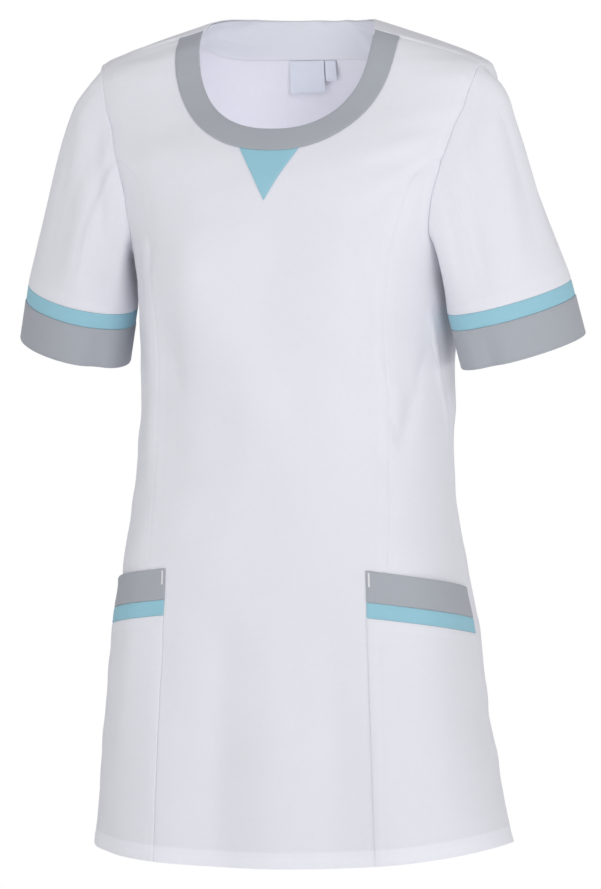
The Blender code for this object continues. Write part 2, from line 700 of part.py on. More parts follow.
def back_pieces():
    """Back panel, neck facing, label and size tab. Angles run from left seam to right seam."""
    shoulder = shoulder_line()
    armhole = armhole_line(front=False)
    side = side_line(1)
    angles = np.linspace(SEAM_ANGLE_NECK, pi, 15)
    turned = ((pi - angles) / (pi - SEAM_ANGLE_NECK)) ** BACK_NECK_POWER
    neck = np.stack([angles, BACK_NECK_RISE * (1 - turned)], -1)
    facing_top = shoulder_point(share_at(FACING_HALF_WIDTH))
    facing_angles = np.linspace(pi, facing_top[0], 18)
    rise = np.clip((pi - facing_angles - FACING_FLAT) / FACING_SCOOP, 0, 1)
    facing_heights = FACING_BOTTOM + (facing_top[1] - FACING_BOTTOM) * rise**2 * (3 - 2 * rise)
    facing = np.stack([facing_angles, facing_heights], -1)

    def across(line):
        """The same line on the other side of the centre back."""
        return np.stack([2 * pi - line[::-1, 0], line[::-1, 1]], -1)

    def tag(centre, width, length):
        """Outline of a label that hangs just below the facing."""
        top = FACING_BOTTOM - SEAM_GAP
        x = centre + width * np.array([-0.5, 0.0, 0.5, 0.5, 0.5, 0.0, -0.5, -0.5])
        heights = top - length * np.array([0.0, 0.0, 0.0, 0.5, 1.0, 1.0, 1.0, 0.5])
        return np.stack([angle_where(0, x, heights, pi - 0.8, pi + 0.8), heights], -1)

    hem = hem_line(side[0, 0], 2 * pi - side[0, 0], 24)
    half = np.vstack([side[1:], armhole[1:], shoulder[::-1][1:], neck[1:]])
    outline = np.vstack([hem[::-1], half, across(half)[1:]])
    label = tag(LABEL_CENTRE, LABEL_WIDTH, LABEL_LENGTH)
    tab = tag(TAB_CENTRE, TAB_WIDTH, TAB_LENGTH)
    lines = [facing, across(facing), np.vstack([label, label[:1]]), np.vstack([tab, tab[:1]])]
    net = Net(outline, lines)
    cut_piece("back", net, net.cells, 0.0, "white_cloth", WHITE)

    seam_part = shoulder[: np.argmin(np.abs(shoulder[:, 1] - facing_top[1])) + 1]
    whole_facing = np.vstack([seam_part, facing[::-1][1:], across(facing[::-1])[1:], across(seam_part)[1:],
                              across(neck)[::-1][1:], neck[::-1][1:-1]])
    cut_piece("back_neck_facing", net, net.cells_in(whole_facing), -LAYER, "facing_cloth", FACING_WHITE)
    cut_piece("neck_label", net, net.cells_in(label), -LAYER, "label_cloth", LABEL_WHITE)
    cut_piece("size_tab", net, net.cells_in(tab), -LAYER, "label_cloth", LABEL_WHITE)


def cuff_ring(turns, distance):
    """Ring of the sleeve at a distance above its hem, on the wearer's left."""
    down = np.array([CUFF_RISE_OUT, CUFF_RISE_BACK, -1.0])
    down /= np.linalg.norm(down)
    own = -CUFF_TURN - turns
    broad = CUFF_BROAD * np.cos(own)
    narrow = CUFF_NARROW * np.sin(own)
    out = broad * cos(CUFF_TURN) - narrow * sin(CUFF_TURN)
    behind = broad * sin(CUFF_TURN) + narrow * cos(CUFF_TURN)
    rise = CUFF_RISE_OUT * out + CUFF_RISE_BACK * behind
    centre = np.array([CUFF_CENTRE_X, CUFF_CENTRE_Y, CUFF_CENTRE_Z]) - down * distance
    return centre + np.stack([out, behind, rise], -1), down


def armhole_ring(turns):
    """Armhole as a ring, with the direction in which the sleeve's cloth leaves it."""
    signed = (turns + pi) % (2 * pi) - pi
    places = np.array([armhole_point(turn) for turn in signed])
    points = body(places[:, 0], places[:, 1])
    normals = normal_of(body, places[:, 0], places[:, 1])
    run = np.roll(points, -1, axis=0) - np.roll(points, 1, axis=0)
    into = np.cross(run, normals)
    into /= np.linalg.norm(into, axis=1, keepdims=True)
    into *= np.sign(np.sum(into * (points.mean(axis=0) - points), axis=1, keepdims=True))
    fold = (CAP_FOLD + PIT_FOLD) / 2 + (CAP_FOLD - PIT_FOLD) / 2 * np.cos(turns)
    leave = np.cos(fold)[:, None] * into + np.sin(fold)[:, None] * normals
    _, down = cuff_ring(turns, 0.0)
    leave = leave + UNDERARM_DROP * down * np.sin(turns / 2)[:, None] ** 2
    leave /= np.linalg.norm(leave, axis=1, keepdims=True)
    bend = np.arccos(np.clip(np.sum(leave * into, axis=1), -1, 1))
    clear = SEAM_GAP * (1 + PIT_CLEARANCE * np.sin(turns / 2) ** 4) + WALL / 2 * np.tan(bend / 2)
    return points + leave * clear[:, None], leave


def sleeve_points(hand, turns, downs):
    """Middle surface of the white part of a sleeve, with its folds, on the wearer's left."""
    top, leave = armhole_ring(turns)
    bottom, down = cuff_ring(turns, CUFF_WIDTH + STRIPE_WIDTH + SEAM_GAP)
    pull = SLEEVE_PULL * np.linalg.norm(bottom - top, axis=1)[:, None]
    rows = []
    for share in downs:
        start = (2 * share**3 - 3 * share**2 + 1) * top + (share**3 - 2 * share**2 + share) * pull * leave
        end = (3 * share**2 - 2 * share**3) * bottom + (share**3 - share**2) * pull * down
        rows.append(start + end)
    points = np.array(rows)
    normals = tube_normals(points)
    for fold in SLEEVE_FOLDS[hand]:
        turn = (turns - fold.angle + pi) % (2 * pi) - pi
        for number, share in enumerate(downs):
            edge = min(1.0, 4 * share, 4 * (1 - share))
            height = fold.depth * np.exp(-((turn / fold.half_angle) ** 2) - ((share - fold.down) / fold.half_down) ** 2)
            points[number] += normals[number] * (height * edge)[:, None]
    return points


def tube_normals(points):
    """Outward normals of a ring-by-ring tube."""
    round_it = np.roll(points, -1, axis=1) - np.roll(points, 1, axis=1)
    along = np.gradient(points, axis=0)
    normals = np.cross(round_it, along)
    normals /= np.linalg.norm(normals, axis=2, keepdims=True)
    centre = points.mean(axis=1, keepdims=True)
    outward = np.sign(np.sum(normals * (points - centre)))
    return normals * outward


def tube(name, hand, points, colour_name, colour, proud=0.0):
    """A ring-by-ring tube with a wall, mirrored for the wearer's right."""
    normals = tube_normals(points)
    rows, count = points.shape[:2]
    middle = points + normals * proud
    outer = (middle + normals * WALL / 2).reshape(-1, 3)
    inner = (middle - normals * WALL / 2).reshape(-1, 3)
    vertices = np.vstack([outer, inner])
    shift = rows * count
    faces = []
    for row in range(rows - 1):
        for i in range(count):
            j = (i + 1) % count
            corner = (row * count + i, row * count + j, (row + 1) * count + j, (row + 1) * count + i)
            faces += [(corner[0], corner[1], corner[2]), (corner[0], corner[2], corner[3])]
            faces += [(corner[2] + shift, corner[1] + shift, corner[0] + shift)]
            faces += [(corner[3] + shift, corner[2] + shift, corner[0] + shift)]
    for i in range(count):
        j = (i + 1) % count
        last = (rows - 1) * count
        faces += [(j, i, i + shift), (j, i + shift, j + shift)]
        faces += [(last + i, last + j, last + j + shift), (last + i, last + j + shift, last + i + shift)]
    if hand == "right":
        vertices = vertices * (-1, 1, 1)
        faces = [face[::-1] for face in faces]
    add_object(f"{name}_{hand}", vertices, faces, colour_name, colour)


def sleeve_pieces():
    """Sleeve, let-in stripe and cuff band on each side, with a point at each of the armhole's."""
    turns = np.concatenate([armhole_turns(front=True), 2 * pi - armhole_turns(front=False)[1:-1][::-1]])
    for hand in ("left", "right"):
        downs = np.linspace(0, 1, SLEEVE_ROWS + 1)
        tube("sleeve", hand, sleeve_points(hand, turns, downs), "white_cloth", WHITE)
        stripe = [cuff_ring(turns, distance)[0] for distance in (CUFF_WIDTH + STRIPE_WIDTH, CUFF_WIDTH)]
        tube("sleeve_stripe", hand, np.array(stripe), "blue_cloth", BLUE)
        cuff_tops = np.linspace(CUFF_WIDTH - SEAM_GAP, 0.0, 3)
        cuff = [cuff_ring(turns, distance)[0] for distance in cuff_tops]
        tube("cuff", hand, np.array(cuff), "grey_cloth", GREY, CUFF_PROUD)


def clear_scene():
    for old in list(bpy.data.objects):
        bpy.data.objects.remove(old, do_unlink=True)


clear_scene()
front_pieces()
back_pieces()
sleeve_pieces()
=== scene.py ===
from collections import namedtuple
from math import cos, pi, radians, sin

import bpy
import numpy as np
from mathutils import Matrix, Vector
from mathutils.geometry import delaunay_2d_cdt
from mathutils.kdtree import KDTree


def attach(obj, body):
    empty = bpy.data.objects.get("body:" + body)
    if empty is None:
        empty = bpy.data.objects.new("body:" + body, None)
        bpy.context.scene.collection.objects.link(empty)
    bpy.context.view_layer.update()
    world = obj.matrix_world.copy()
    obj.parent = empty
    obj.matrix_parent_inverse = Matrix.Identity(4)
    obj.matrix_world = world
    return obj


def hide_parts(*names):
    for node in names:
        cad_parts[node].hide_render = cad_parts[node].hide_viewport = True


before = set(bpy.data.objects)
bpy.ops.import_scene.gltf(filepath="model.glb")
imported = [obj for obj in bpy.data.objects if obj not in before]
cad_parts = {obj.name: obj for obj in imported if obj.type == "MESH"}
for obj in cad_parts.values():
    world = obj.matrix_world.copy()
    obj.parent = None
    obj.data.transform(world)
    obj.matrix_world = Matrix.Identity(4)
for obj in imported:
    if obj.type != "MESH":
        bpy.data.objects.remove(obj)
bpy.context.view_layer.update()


# Camera. It stands level with the chest, seven metres away and a little to the wearer's left,
# and looks slightly down through a long lens.
CAMERA_TURN = radians(16.0)
CAMERA_AWAY = 7.0
CAMERA_HEIGHT = -0.20
AIM_ACROSS = 0.0033
AIM_HEIGHT = -0.392
VIEW_HEIGHT = 0.8446
FILM = 36.0
FAR_CLIP = 60.0


def place_object(name, data):
    """A new object in the scene, made of that data."""
    thing = bpy.data.objects.new(name, data)
    bpy.context.scene.collection.objects.link(thing)
    return thing


camera = place_object("camera", bpy.data.cameras.new("camera"))
camera.location = (CAMERA_AWAY * sin(CAMERA_TURN), -CAMERA_AWAY * cos(CAMERA_TURN), CAMERA_HEIGHT)
aim = Vector((AIM_ACROSS * cos(CAMERA_TURN), AIM_ACROSS * sin(CAMERA_TURN), AIM_HEIGHT))
camera.rotation_euler = (aim - camera.location).to_track_quat("-Z", "Y").to_euler()
camera.data.sensor_width = FILM
camera.data.lens = FILM * CAMERA_AWAY / VIEW_HEIGHT
camera.data.clip_end = FAR_CLIP
bpy.context.scene.camera = camera


# Front centre. One panel from the shoulders to the hem, cut in white twill of polyester and
# cotton. The princess seams join it to the side panels, and its hem is turned up and stitched.
WALL = 0.0012
SEAM_GAP = 0.0003
LAYER = WALL + SEAM_GAP
CELL = 0.0050
LINE_CLEARANCE = 0.42
SAME = 1e-6
SEAM_LEFT_OPEN = 0.00008
SOFT_EDGE = 0.0012
SHARP_CORNER = 0.35
SEAM_DROP = 0.00022
EDGE_DROP = 0.00045

HEM_CENTRE = -0.7865
HEM_SIDE_RISE = 0.0175
HEM_DEPTH = 0.0165
VENT_TOP = -0.650
FLARE_LEFT = 0.026
FLARE_RIGHT = 0.003
FLARE_ANGLE = radians(84.0)
FLARE_REACH = radians(32.0)
FLARE_FORWARD = 0.3
FLARE_LIFT = 0.10

NECK_HALF_WIDTH = 0.084
NECK_DEPTH = 0.094
NECK_SQUARENESS = 2.45
SEAM_ANGLE_NECK = radians(50.5)

TIP_HEIGHT = -0.033
PIT_HEIGHT = -0.212
ARMHOLE_TIP_Y = -0.020
ARMHOLE_PIT_Y = -0.010
ARMHOLE_FRONT_REACH = (0.029, 0.085)
ARMHOLE_BACK_REACH = (0.036, 0.062)
ARMHOLE_GROWTH = 1.5
ARMHOLE_KNOTS = 9

BUST_X = 0.082
BUST_HEIGHT = -0.228
BUST_DEPTH = 0.012
BUST_WIDTH = 0.044
BUST_ABOVE = 0.052
BUST_BELOW = 0.085

# Rings round the body; "side" is the Y of a ring's widest points and "square" how far its
# corners fill out.
Ring = namedtuple("Ring", "height half_width front back side square")
RINGS = (
    Ring(-0.800, 0.1895, -0.1190, 0.119, 0.014, 0.070),
    Ring(-0.625, 0.1765, -0.1165, 0.111, 0.010, 0.075),
    Ring(-0.568, 0.1700, -0.1160, 0.106, 0.006, 0.075),
    Ring(-0.511, 0.1610, -0.1150, 0.094, 0.002, 0.075),
    Ring(-0.454, 0.1545, -0.1110, 0.080, -0.003, 0.055),
    Ring(-0.397, 0.1510, -0.1090, 0.072, 0.000, 0.035),
    Ring(-0.350, 0.1500, -0.1120, 0.075, 0.012, 0.030),
    Ring(-0.300, 0.1500, -0.1160, 0.082, 0.010, 0.030),
    Ring(-0.240, 0.1505, -0.1200, 0.090, 0.003, 0.035),
    Ring(-0.212, 0.1545, -0.1190, 0.093, 0.000, 0.035),
    Ring(-0.160, 0.1720, -0.1125, 0.096, -0.004, 0.025),
    Ring(-0.120, 0.1870, -0.0990, 0.094, -0.006, 0.030),
    Ring(-0.095, 0.1920, -0.0840, 0.090, -0.006, 0.035),
    Ring(-0.070, 0.1935, -0.0665, 0.084, -0.006, 0.065),
    Ring(-0.045, 0.1930, -0.0540, 0.075, -0.006, 0.075),
    Ring(-0.033, 0.1905, -0.0500, 0.070, -0.006, 0.050),
    Ring(-0.0228, 0.1735, -0.0480, 0.066, -0.004, 0.020),
    Ring(-0.0114, 0.1438, -0.0460, 0.061, -0.002, 0.005),
    Ring(0.000, 0.1090, -0.0430, 0.055, 0.000, 0.0),
    Ring(0.006, 0.0900, -0.0410, 0.052, 0.001, 0.0),
    Ring(0.014, 0.0640, -0.0380, 0.048, 0.002, 0.0),
)

PrincessSeam = namedtuple("PrincessSeam", "height half_width")
PRINCESS_SEAM = (
    PrincessSeam(-0.800, 0.130),
    PrincessSeam(-0.510, 0.117),
    PrincessSeam(-0.370, 0.113),
    PrincessSeam(-0.300, 0.110),
    PrincessSeam(-0.220, 0.1155),
    PrincessSeam(-0.180, 0.1235),
    PrincessSeam(-0.152, 0.1300),
    PrincessSeam(-0.138, 0.1370),
    PrincessSeam(-0.128, 0.1480),
)
PRINCESS_TOP = -0.121
PRINCESS_BEND = -0.152

# Soft folds, as in the solids. Angles are in degrees round the body.
Fold = namedtuple("Fold", "angle height half_width half_length depth lean")
FOLDS = (
    Fold(-14.0, -0.730, 0.020, 0.125, -0.0042, 0.03),
    Fold(-24.0, -0.740, 0.020, 0.110, 0.0030, 0.05),
    Fold(2.0, -0.720, 0.026, 0.120, 0.0034, 0.00),
    Fold(21.0, -0.735, 0.019, 0.105, -0.0036, -0.04),
    Fold(31.0, -0.750, 0.024, 0.100, 0.0026, -0.06),
    Fold(-47.0, -0.740, 0.026, 0.100, -0.0024, 0.00),
    Fold(36.0, -0.375, 0.015, 0.048, -0.0034, -0.42),
    Fold(52.0, -0.385, 0.015, 0.040, -0.0030, 0.40),
    Fold(44.0, -0.345, 0.014, 0.035, 0.0026, 0.00),
    Fold(-8.0, -0.330, 0.034, 0.100, 0.0030, -0.28),
    Fold(-37.0, -0.330, 0.018, 0.070, -0.0026, 0.10),
    Fold(40.0, -0.148, 0.010, 0.026, -0.0026, 0.70),
    Fold(160.0, -0.400, 0.022, 0.070, -0.0036, 0.12),
    Fold(-157.0, -0.395, 0.022, 0.075, -0.0038, -0.10),
    Fold(178.0, -0.420, 0.030, 0.090, 0.0026, 0.00),
    Fold(140.0, -0.730, 0.028, 0.120, -0.0042, 0.06),
    Fold(163.0, -0.740, 0.030, 0.120, 0.0040, 0.00),
    Fold(-174.0, -0.730, 0.026, 0.125, -0.0040, 0.02),
    Fold(-143.0, -0.735, 0.030, 0.115, 0.0036, -0.05),
    Fold(132.0, -0.170, 0.016, 0.050, -0.0026, 0.30),
    Fold(-133.0, -0.165, 0.016, 0.050, -0.0026, -0.30),
)
FOLD_RADIUS = 0.15

# Creases, each from one place to another in degrees round the body and metres of height. They
# stand in (negative) or out, and fade at both ends.
Crease = namedtuple("Crease", "angle_1 height_1 angle_2 height_2 half_width depth")
CREASES = (
    Crease(57.0, -0.119, 45.8, -0.137, 0.0055, -0.0026),
    Crease(52.0, -0.108, 27.8, -0.131, 0.0090, -0.0027),
    Crease(50.0, -0.100, 34.0, -0.112, 0.0100, 0.0014),
    Crease(47.0, 0.006, 88.0, -0.036, 0.0032, 0.0013),
    Crease(-47.0, 0.006, -88.0, -0.036, 0.0032, 0.0013),
    Crease(30.0, -0.180, 39.8, -0.265, 0.0090, -0.0015),
    Crease(24.0, -0.190, 33.0, -0.270, 0.0120, 0.0009),
    Crease(33.8, -0.290, 40.8, -0.331, 0.0055, -0.0015),
    Crease(40.8, -0.331, 47.2, -0.374, 0.0065, -0.0022),
    Crease(46.5, -0.368, 53.0, -0.391, 0.0060, -0.0017),
    Crease(67.0, -0.296, 58.2, -0.343, 0.0060, -0.0020),
    Crease(58.6, -0.340, 52.5, -0.384, 0.0060, -0.0023),
    Crease(40.5, -0.296, 41.5, -0.332, 0.0050, 0.0014),
    Crease(68.0, -0.262, 75.0, -0.327, 0.0046, 0.0024),
    Crease(74.0, -0.318, 87.0, -0.392, 0.0042, 0.0020),
    Crease(50.0, -0.330, 49.0, -0.366, 0.0070, 0.0013),
    Crease(-43.0, -0.195, -47.0, -0.240, 0.0055, -0.0016),
    Crease(-48.0, -0.190, -50.0, -0.430, 0.0150, 0.0034),
    Crease(-36.0, -0.300, -31.0, -0.345, 0.0080, -0.0010),
    Crease(-10.0, -0.545, -10.8, -0.800, 0.0110, -0.0020),
    Crease(17.0, -0.570, 15.8, -0.800, 0.0100, -0.0018),
    Crease(-26.8, -0.550, -25.5, -0.660, 0.0075, -0.0013),
    Crease(-16.2, -0.560, -15.5, -0.800, 0.0110, 0.0016),
    Crease(1.2, -0.560, 2.0, -0.800, 0.0130, 0.0016),
    Crease(44.0, -0.640, 42.5, -0.800, 0.0120, -0.0014),
    Crease(-20.2, -0.177, 0.2, -0.228, 0.0220, 0.0016),
    Crease(0.2, -0.228, -7.5, -0.281, 0.0220, 0.0014),
    Crease(-7.5, -0.281, 1.2, -0.404, 0.0240, 0.0016),
    Crease(9.2, -0.318, 8.8, -0.376, 0.0140, -0.0016),
    Crease(128.0, -0.120, 150.0, -0.175, 0.0100, -0.0016),
    Crease(232.0, -0.118, 208.0, -0.178, 0.0100, -0.0016),
    Crease(140.0, -0.300, 163.0, -0.352, 0.0080, -0.0018),
    Crease(222.0, -0.305, 196.0, -0.350, 0.0080, -0.0018),
    Crease(134.0, -0.350, 158.0, -0.398, 0.0075, -0.0017),
    Crease(226.0, -0.356, 204.0, -0.400, 0.0075, -0.0016),
    Crease(172.0, -0.520, 169.0, -0.800, 0.0130, -0.0018),
    Crease(196.0, -0.560, 198.0, -0.800, 0.0120, 0.0016),
    Crease(150.0, -0.600, 148.0, -0.800, 0.0120, 0.0014),
    Crease(240.0, 0.002, 194.0, -0.014, 0.0065, -0.0020),
    Crease(230.0, 0.008, 200.0, -0.002, 0.0050, 0.0013),
    Crease(150.0, 0.006, 161.0, -0.030, 0.0060, -0.0022),
    Crease(143.0, 0.002, 150.0, -0.024, 0.0055, 0.0016),
    Crease(222.0, -0.030, 206.0, -0.075, 0.0090, -0.0018),
)

# Slight unevenness of worn cloth: long shallow waves in all directions.
UNEVEN_WAVES = 16
UNEVEN_LENGTHS = (0.030, 0.110)
UNEVEN_DEPTH = 0.00016
UNEVEN_SKEW = 0.7


def unit(vectors):
    """The same directions at length one."""
    return vectors / np.linalg.norm(vectors, axis=-1, keepdims=True)


def distance_along(points):
    """How far along a line each of its points lies."""
    return np.concatenate([[0.0], np.cumsum(np.linalg.norm(np.diff(points, axis=0), axis=1))])


def eased(share, start, leave, end, arrive):
    """Cubic run from start to end, with the slopes at which it leaves and arrives."""
    first = (2 * share**3 - 3 * share**2 + 1) * start + (share**3 - 2 * share**2 + share) * leave
    return first + (3 * share**2 - 2 * share**3) * end + (share**3 - share**2) * arrive


def smooth_table(rows):
    """Smooth function through a table's rows, with no overshoot between them."""
    values = np.array(rows, float)
    values = values[np.argsort(values[:, 0])]
    keys, values = values[:, 0], values[:, 1:]
    spans = np.diff(keys)[:, None]
    rates = np.diff(values, axis=0) / spans
    slopes = np.empty_like(values)
    slopes[0], slopes[-1] = rates[0], rates[-1]
    before, after = rates[:-1], rates[1:]
    weight_before = 2 * spans[1:] + spans[:-1]
    weight_after = spans[1:] + 2 * spans[:-1]
    level = before * after <= 0
    safe_before = np.where(level, 1.0, before)
    safe_after = np.where(level, 1.0, after)
    mean = (weight_before + weight_after) / (weight_before / safe_before + weight_after / safe_after)
    slopes[1:-1] = np.where(level, 0.0, mean)

    def read(key):
        key = np.clip(np.asarray(key, float), keys[0], keys[-1])
        row = np.clip(np.searchsorted(keys, key, side="right") - 1, 0, len(keys) - 2)
        span = (keys[row + 1] - keys[row])[..., None]
        share = (key - keys[row])[..., None] / span
        return eased(share, values[row], span * slopes[row], values[row + 1], span * slopes[row + 1])

    return read


ring_at = smooth_table(RINGS)


def hem_height(angle):
    return HEM_CENTRE + HEM_SIDE_RISE * np.sin(angle) ** 2


def plain_body(angle, height):
    """The body without folds: rings, bust and the flare beside the vents."""
    angle, height = np.broadcast_arrays(np.asarray(angle, float), np.asarray(height, float))
    half_width, front, back, side, square = np.moveaxis(ring_at(height), -1, 0)
    across = (np.sin(angle) + square * np.sin(3 * angle)) / (1 - square)
    along = (np.cos(angle) - square * np.cos(3 * angle)) / (1 - square)
    x = half_width * across
    y = side + np.where(along > 0, front - side, side - back) * along
    above = height > BUST_HEIGHT
    spread = np.where(above, BUST_ABOVE, BUST_BELOW)
    bust = np.exp(-((np.abs(x) - BUST_X) / BUST_WIDTH) ** 2 - ((height - BUST_HEIGHT) / spread) ** 2)
    y = y - BUST_DEPTH * bust * np.clip(along, 0, None)
    drop = np.clip((VENT_TOP - height) / (VENT_TOP - HEM_CENTRE), 0, None)
    from_front = np.abs((angle + pi) % (2 * pi) - pi)
    near_vent = np.exp(-(((from_front - FLARE_ANGLE) / FLARE_REACH) ** 2))
    flare = np.where(np.sin(angle) > 0, FLARE_LEFT, FLARE_RIGHT) * drop * near_vent
    return np.stack([x + flare * np.sign(x), y - FLARE_FORWARD * flare, height + FLARE_LIFT * flare], -1)


SLOPE_REACH = 1e-4


def slopes_of(surface, first, second):
    """How a surface of two parameters runs along each of them."""
    return [
        (surface(first + one, second + other) - surface(first - one, second - other)) / (2 * SLOPE_REACH)
        for one, other in ((SLOPE_REACH, 0.0), (0.0, SLOPE_REACH))
    ]


def normal_of(surface, first, second):
    """Outward normal of a surface of two parameters."""
    return unit(np.cross(*slopes_of(surface, first, second)))


def turn_between(angle, start):
    return (angle - start + pi) % (2 * pi) - pi


uneven = np.random.default_rng(7)
uneven_length = uneven.uniform(*UNEVEN_LENGTHS, UNEVEN_WAVES)
uneven_way = uneven.uniform(0, pi, UNEVEN_WAVES)
uneven_start = uneven.uniform(0, 2 * pi, UNEVEN_WAVES)


def fold_depth(angle, height):
    """How far folds, creases and unevenness stand out of the body."""
    angle, height = np.broadcast_arrays(np.asarray(angle, float), np.asarray(height, float))
    depth = np.zeros(angle.shape)
    for fold in FOLDS:
        up = height - fold.height
        across = turn_between(angle, radians(fold.angle)) * FOLD_RADIUS - fold.lean * up
        depth += fold.depth * np.exp(-((across / fold.half_width) ** 2) - (up / fold.half_length) ** 2)
    depth += crease_depth(CREASES, angle, height, FOLD_RADIUS, 1.0)
    around = FOLD_RADIUS * np.sin(angle) + UNEVEN_SKEW * (FOLD_RADIUS * np.cos(angle))
    for length, way, start in zip(uneven_length, uneven_way, uneven_start):
        run = np.cos(way) * around + np.sin(way) * height
        depth += UNEVEN_DEPTH * np.sin(run * 2 * pi / length + start)
    return depth


def crease_depth(creases, angle, along, radius, length):
    """How far creases stand out, at angles round a piece and distances along it."""
    depth = np.zeros(np.broadcast(angle, along).shape)
    for crease in creases:
        run_x = radians(crease.angle_2 - crease.angle_1) * radius
        run_z = (crease.height_2 - crease.height_1) * length
        x = turn_between(angle, radians(crease.angle_1)) * radius
        z = (along - crease.height_1) * length
        share = np.clip((x * run_x + z * run_z) / (run_x**2 + run_z**2), 0, 1)
        away = (x - share * run_x) ** 2 + (z - share * run_z) ** 2
        fade = np.sqrt(np.clip(4 * share * (1 - share), 0, 1))
        depth = depth + crease.depth * fade * np.exp(-away / crease.half_width**2)
    return depth


def body(angle, height):
    """A point of the cloth's middle surface."""
    normal = normal_of(plain_body, angle, height)
    return plain_body(angle, height) + normal * fold_depth(angle, height)[..., None]


HALVINGS = 48


def angle_where(axis, value, height, low, high):
    """The angle between low and high at which the plain body has that x (0) or y (1)."""
    height = np.asarray(height, float)
    low = np.full(height.shape, low)
    high = np.full(height.shape, high)
    low_side = np.sign(plain_body(low, height)[..., axis] - value)
    for _ in range(HALVINGS):
        middle = (low + high) / 2
        same = np.sign(plain_body(middle, height)[..., axis] - value) == low_side
        low = np.where(same, middle, low)
        high = np.where(same, high, middle)
    return (low + high) / 2


# Flat coordinates of the net: the angle times a radius, and the length up the side and over
# the shoulder.
NET_RADIUS = 0.15
PROFILE_STEPS = 1200
PROFILE_HEIGHTS = np.linspace(RINGS[0].height, RINGS[-1].height, PROFILE_STEPS)
PROFILE_RISE = distance_along(np.stack([PROFILE_HEIGHTS, ring_at(PROFILE_HEIGHTS)[:, 0]], -1))


def to_net(line):
    line = np.asarray(line, float)
    return np.stack([line[:, 0] * NET_RADIUS, np.interp(line[:, 1], PROFILE_HEIGHTS, PROFILE_RISE)], -1)


def from_net(flat):
    height = np.interp(flat[:, 1], PROFILE_RISE, PROFILE_HEIGHTS)
    return np.stack([flat[:, 0] / NET_RADIUS, height], -1)


def mirrored(line):
    """The same line on the wearer's right, run the other way."""
    return np.asarray(line)[::-1] * (-1, 1)


def mirrored_lines(lines):
    return [mirrored(line) for line in lines[::-1]]


ARMHOLE_MIDDLE = (TIP_HEIGHT + PIT_HEIGHT) / 2
ARMHOLE_HALF_HEIGHT = (TIP_HEIGHT - PIT_HEIGHT) / 2
ARMHOLE_BETWEEN = radians(20.0), radians(160.0)


def armhole_height(turns):
    return ARMHOLE_MIDDLE + ARMHOLE_HALF_HEIGHT * np.cos(turns)


def armhole_angle(turns):
    """Where the armhole lies round the body at a turn of it."""
    height = armhole_height(turns)
    level = (height - PIT_HEIGHT) / (TIP_HEIGHT - PIT_HEIGHT)
    at_tip = np.where(turns > 0, ARMHOLE_FRONT_REACH[0], ARMHOLE_BACK_REACH[0])
    at_pit = np.where(turns > 0, ARMHOLE_FRONT_REACH[1], ARMHOLE_BACK_REACH[1])
    reach = at_tip + (at_pit - at_tip) * np.clip(1 - level, 0, 1) ** ARMHOLE_GROWTH
    y = ARMHOLE_PIT_Y + (ARMHOLE_TIP_Y - ARMHOLE_PIT_Y) * level - reach * np.sin(turns)
    return angle_where(1, y, height, *ARMHOLE_BETWEEN)


armhole_knots = np.linspace(-pi, pi, ARMHOLE_KNOTS)
smooth_armhole = smooth_table(np.stack([armhole_knots, armhole_angle(armhole_knots)], -1))


def armhole(turns):
    """Armhole at turns from the shoulder tip: plus runs down the front, minus down the back."""
    return np.stack([smooth_armhole(turns)[..., 0], armhole_height(turns)], -1)


princess_turn = float(np.arccos((PRINCESS_TOP - ARMHOLE_MIDDLE) / ARMHOLE_HALF_HEIGHT))
shoulder_tip, princess_end = armhole(np.array([0.0, princess_turn]))
princess_x = smooth_table(PRINCESS_SEAM + ((PRINCESS_TOP, plain_body(*princess_end)[0]),))


def shoulder(first, last, count):
    """Shoulder seam between two shares of its length, 0 at the neck point and 1 at the tip."""
    share = np.linspace(first, last, count + 1)
    return np.stack([SEAM_ANGLE_NECK + (shoulder_tip[0] - SEAM_ANGLE_NECK) * share, TIP_HEIGHT * share], -1)


SHOULDER_STEPS = 400


def shoulder_share(x):
    """Share of the shoulder seam at which it lies that far from the middle."""
    line = shoulder(0, 1, SHOULDER_STEPS)
    return float(np.interp(x, plain_body(*line.T)[:, 0], np.linspace(0, 1, SHOULDER_STEPS + 1)))


def scoop(half_width, top, bottom, squareness, count):
    """A scooped neck line, from the middle of the front out to its end."""
    share = np.linspace(0, pi / 2, count + 1)
    x = half_width * np.sin(share) ** (2 / squareness)
    height = top - (top - bottom) * np.cos(share) ** (2 / squareness)
    return np.stack([angle_where(0, x, height, 0.0, pi / 2), height], -1)


def princess_line():
    """Princess seam from hem to armhole."""
    below = np.linspace(HEM_CENTRE, PRINCESS_BEND, 130)
    heights = np.append(below, np.linspace(PRINCESS_BEND, PRINCESS_TOP, 16)[1:])
    angles = angle_where(0, princess_x(heights)[:, 0], heights, 0.0, pi / 2)
    heights[0] = hem_height(angles[0])
    return np.vstack([np.stack([angles, heights], -1)[:-1], princess_end])


def hem_line(start, end, count):
    angles = np.linspace(start, end, count + 1)
    return np.stack([angles, hem_height(angles)], -1)


def inside(shape, points):
    """Which of the points lie inside a closed outline."""
    x, y = points[:, 0], points[:, 1]
    result = np.zeros(len(points), bool)
    for (x0, y0), (x1, y1) in zip(shape, np.roll(shape, -1, axis=0)):
        crosses = (y0 > y) != (y1 > y)
        rise = y1 - y0 if y1 != y0 else 1.0
        result ^= crosses & (x < (x1 - x0) * (y - y0) / rise + x0)
    return result


def distance_to(line, points):
    """Distance from each point to the nearest part of a line."""
    nearest = np.full(len(points), np.inf)
    for start, end in zip(line[:-1], line[1:]):
        span = end - start
        share = np.clip((points - start) @ span / (span @ span), 0, 1)
        nearest = np.minimum(nearest, np.linalg.norm(points - start - share[:, None] * span, axis=1))
    return nearest


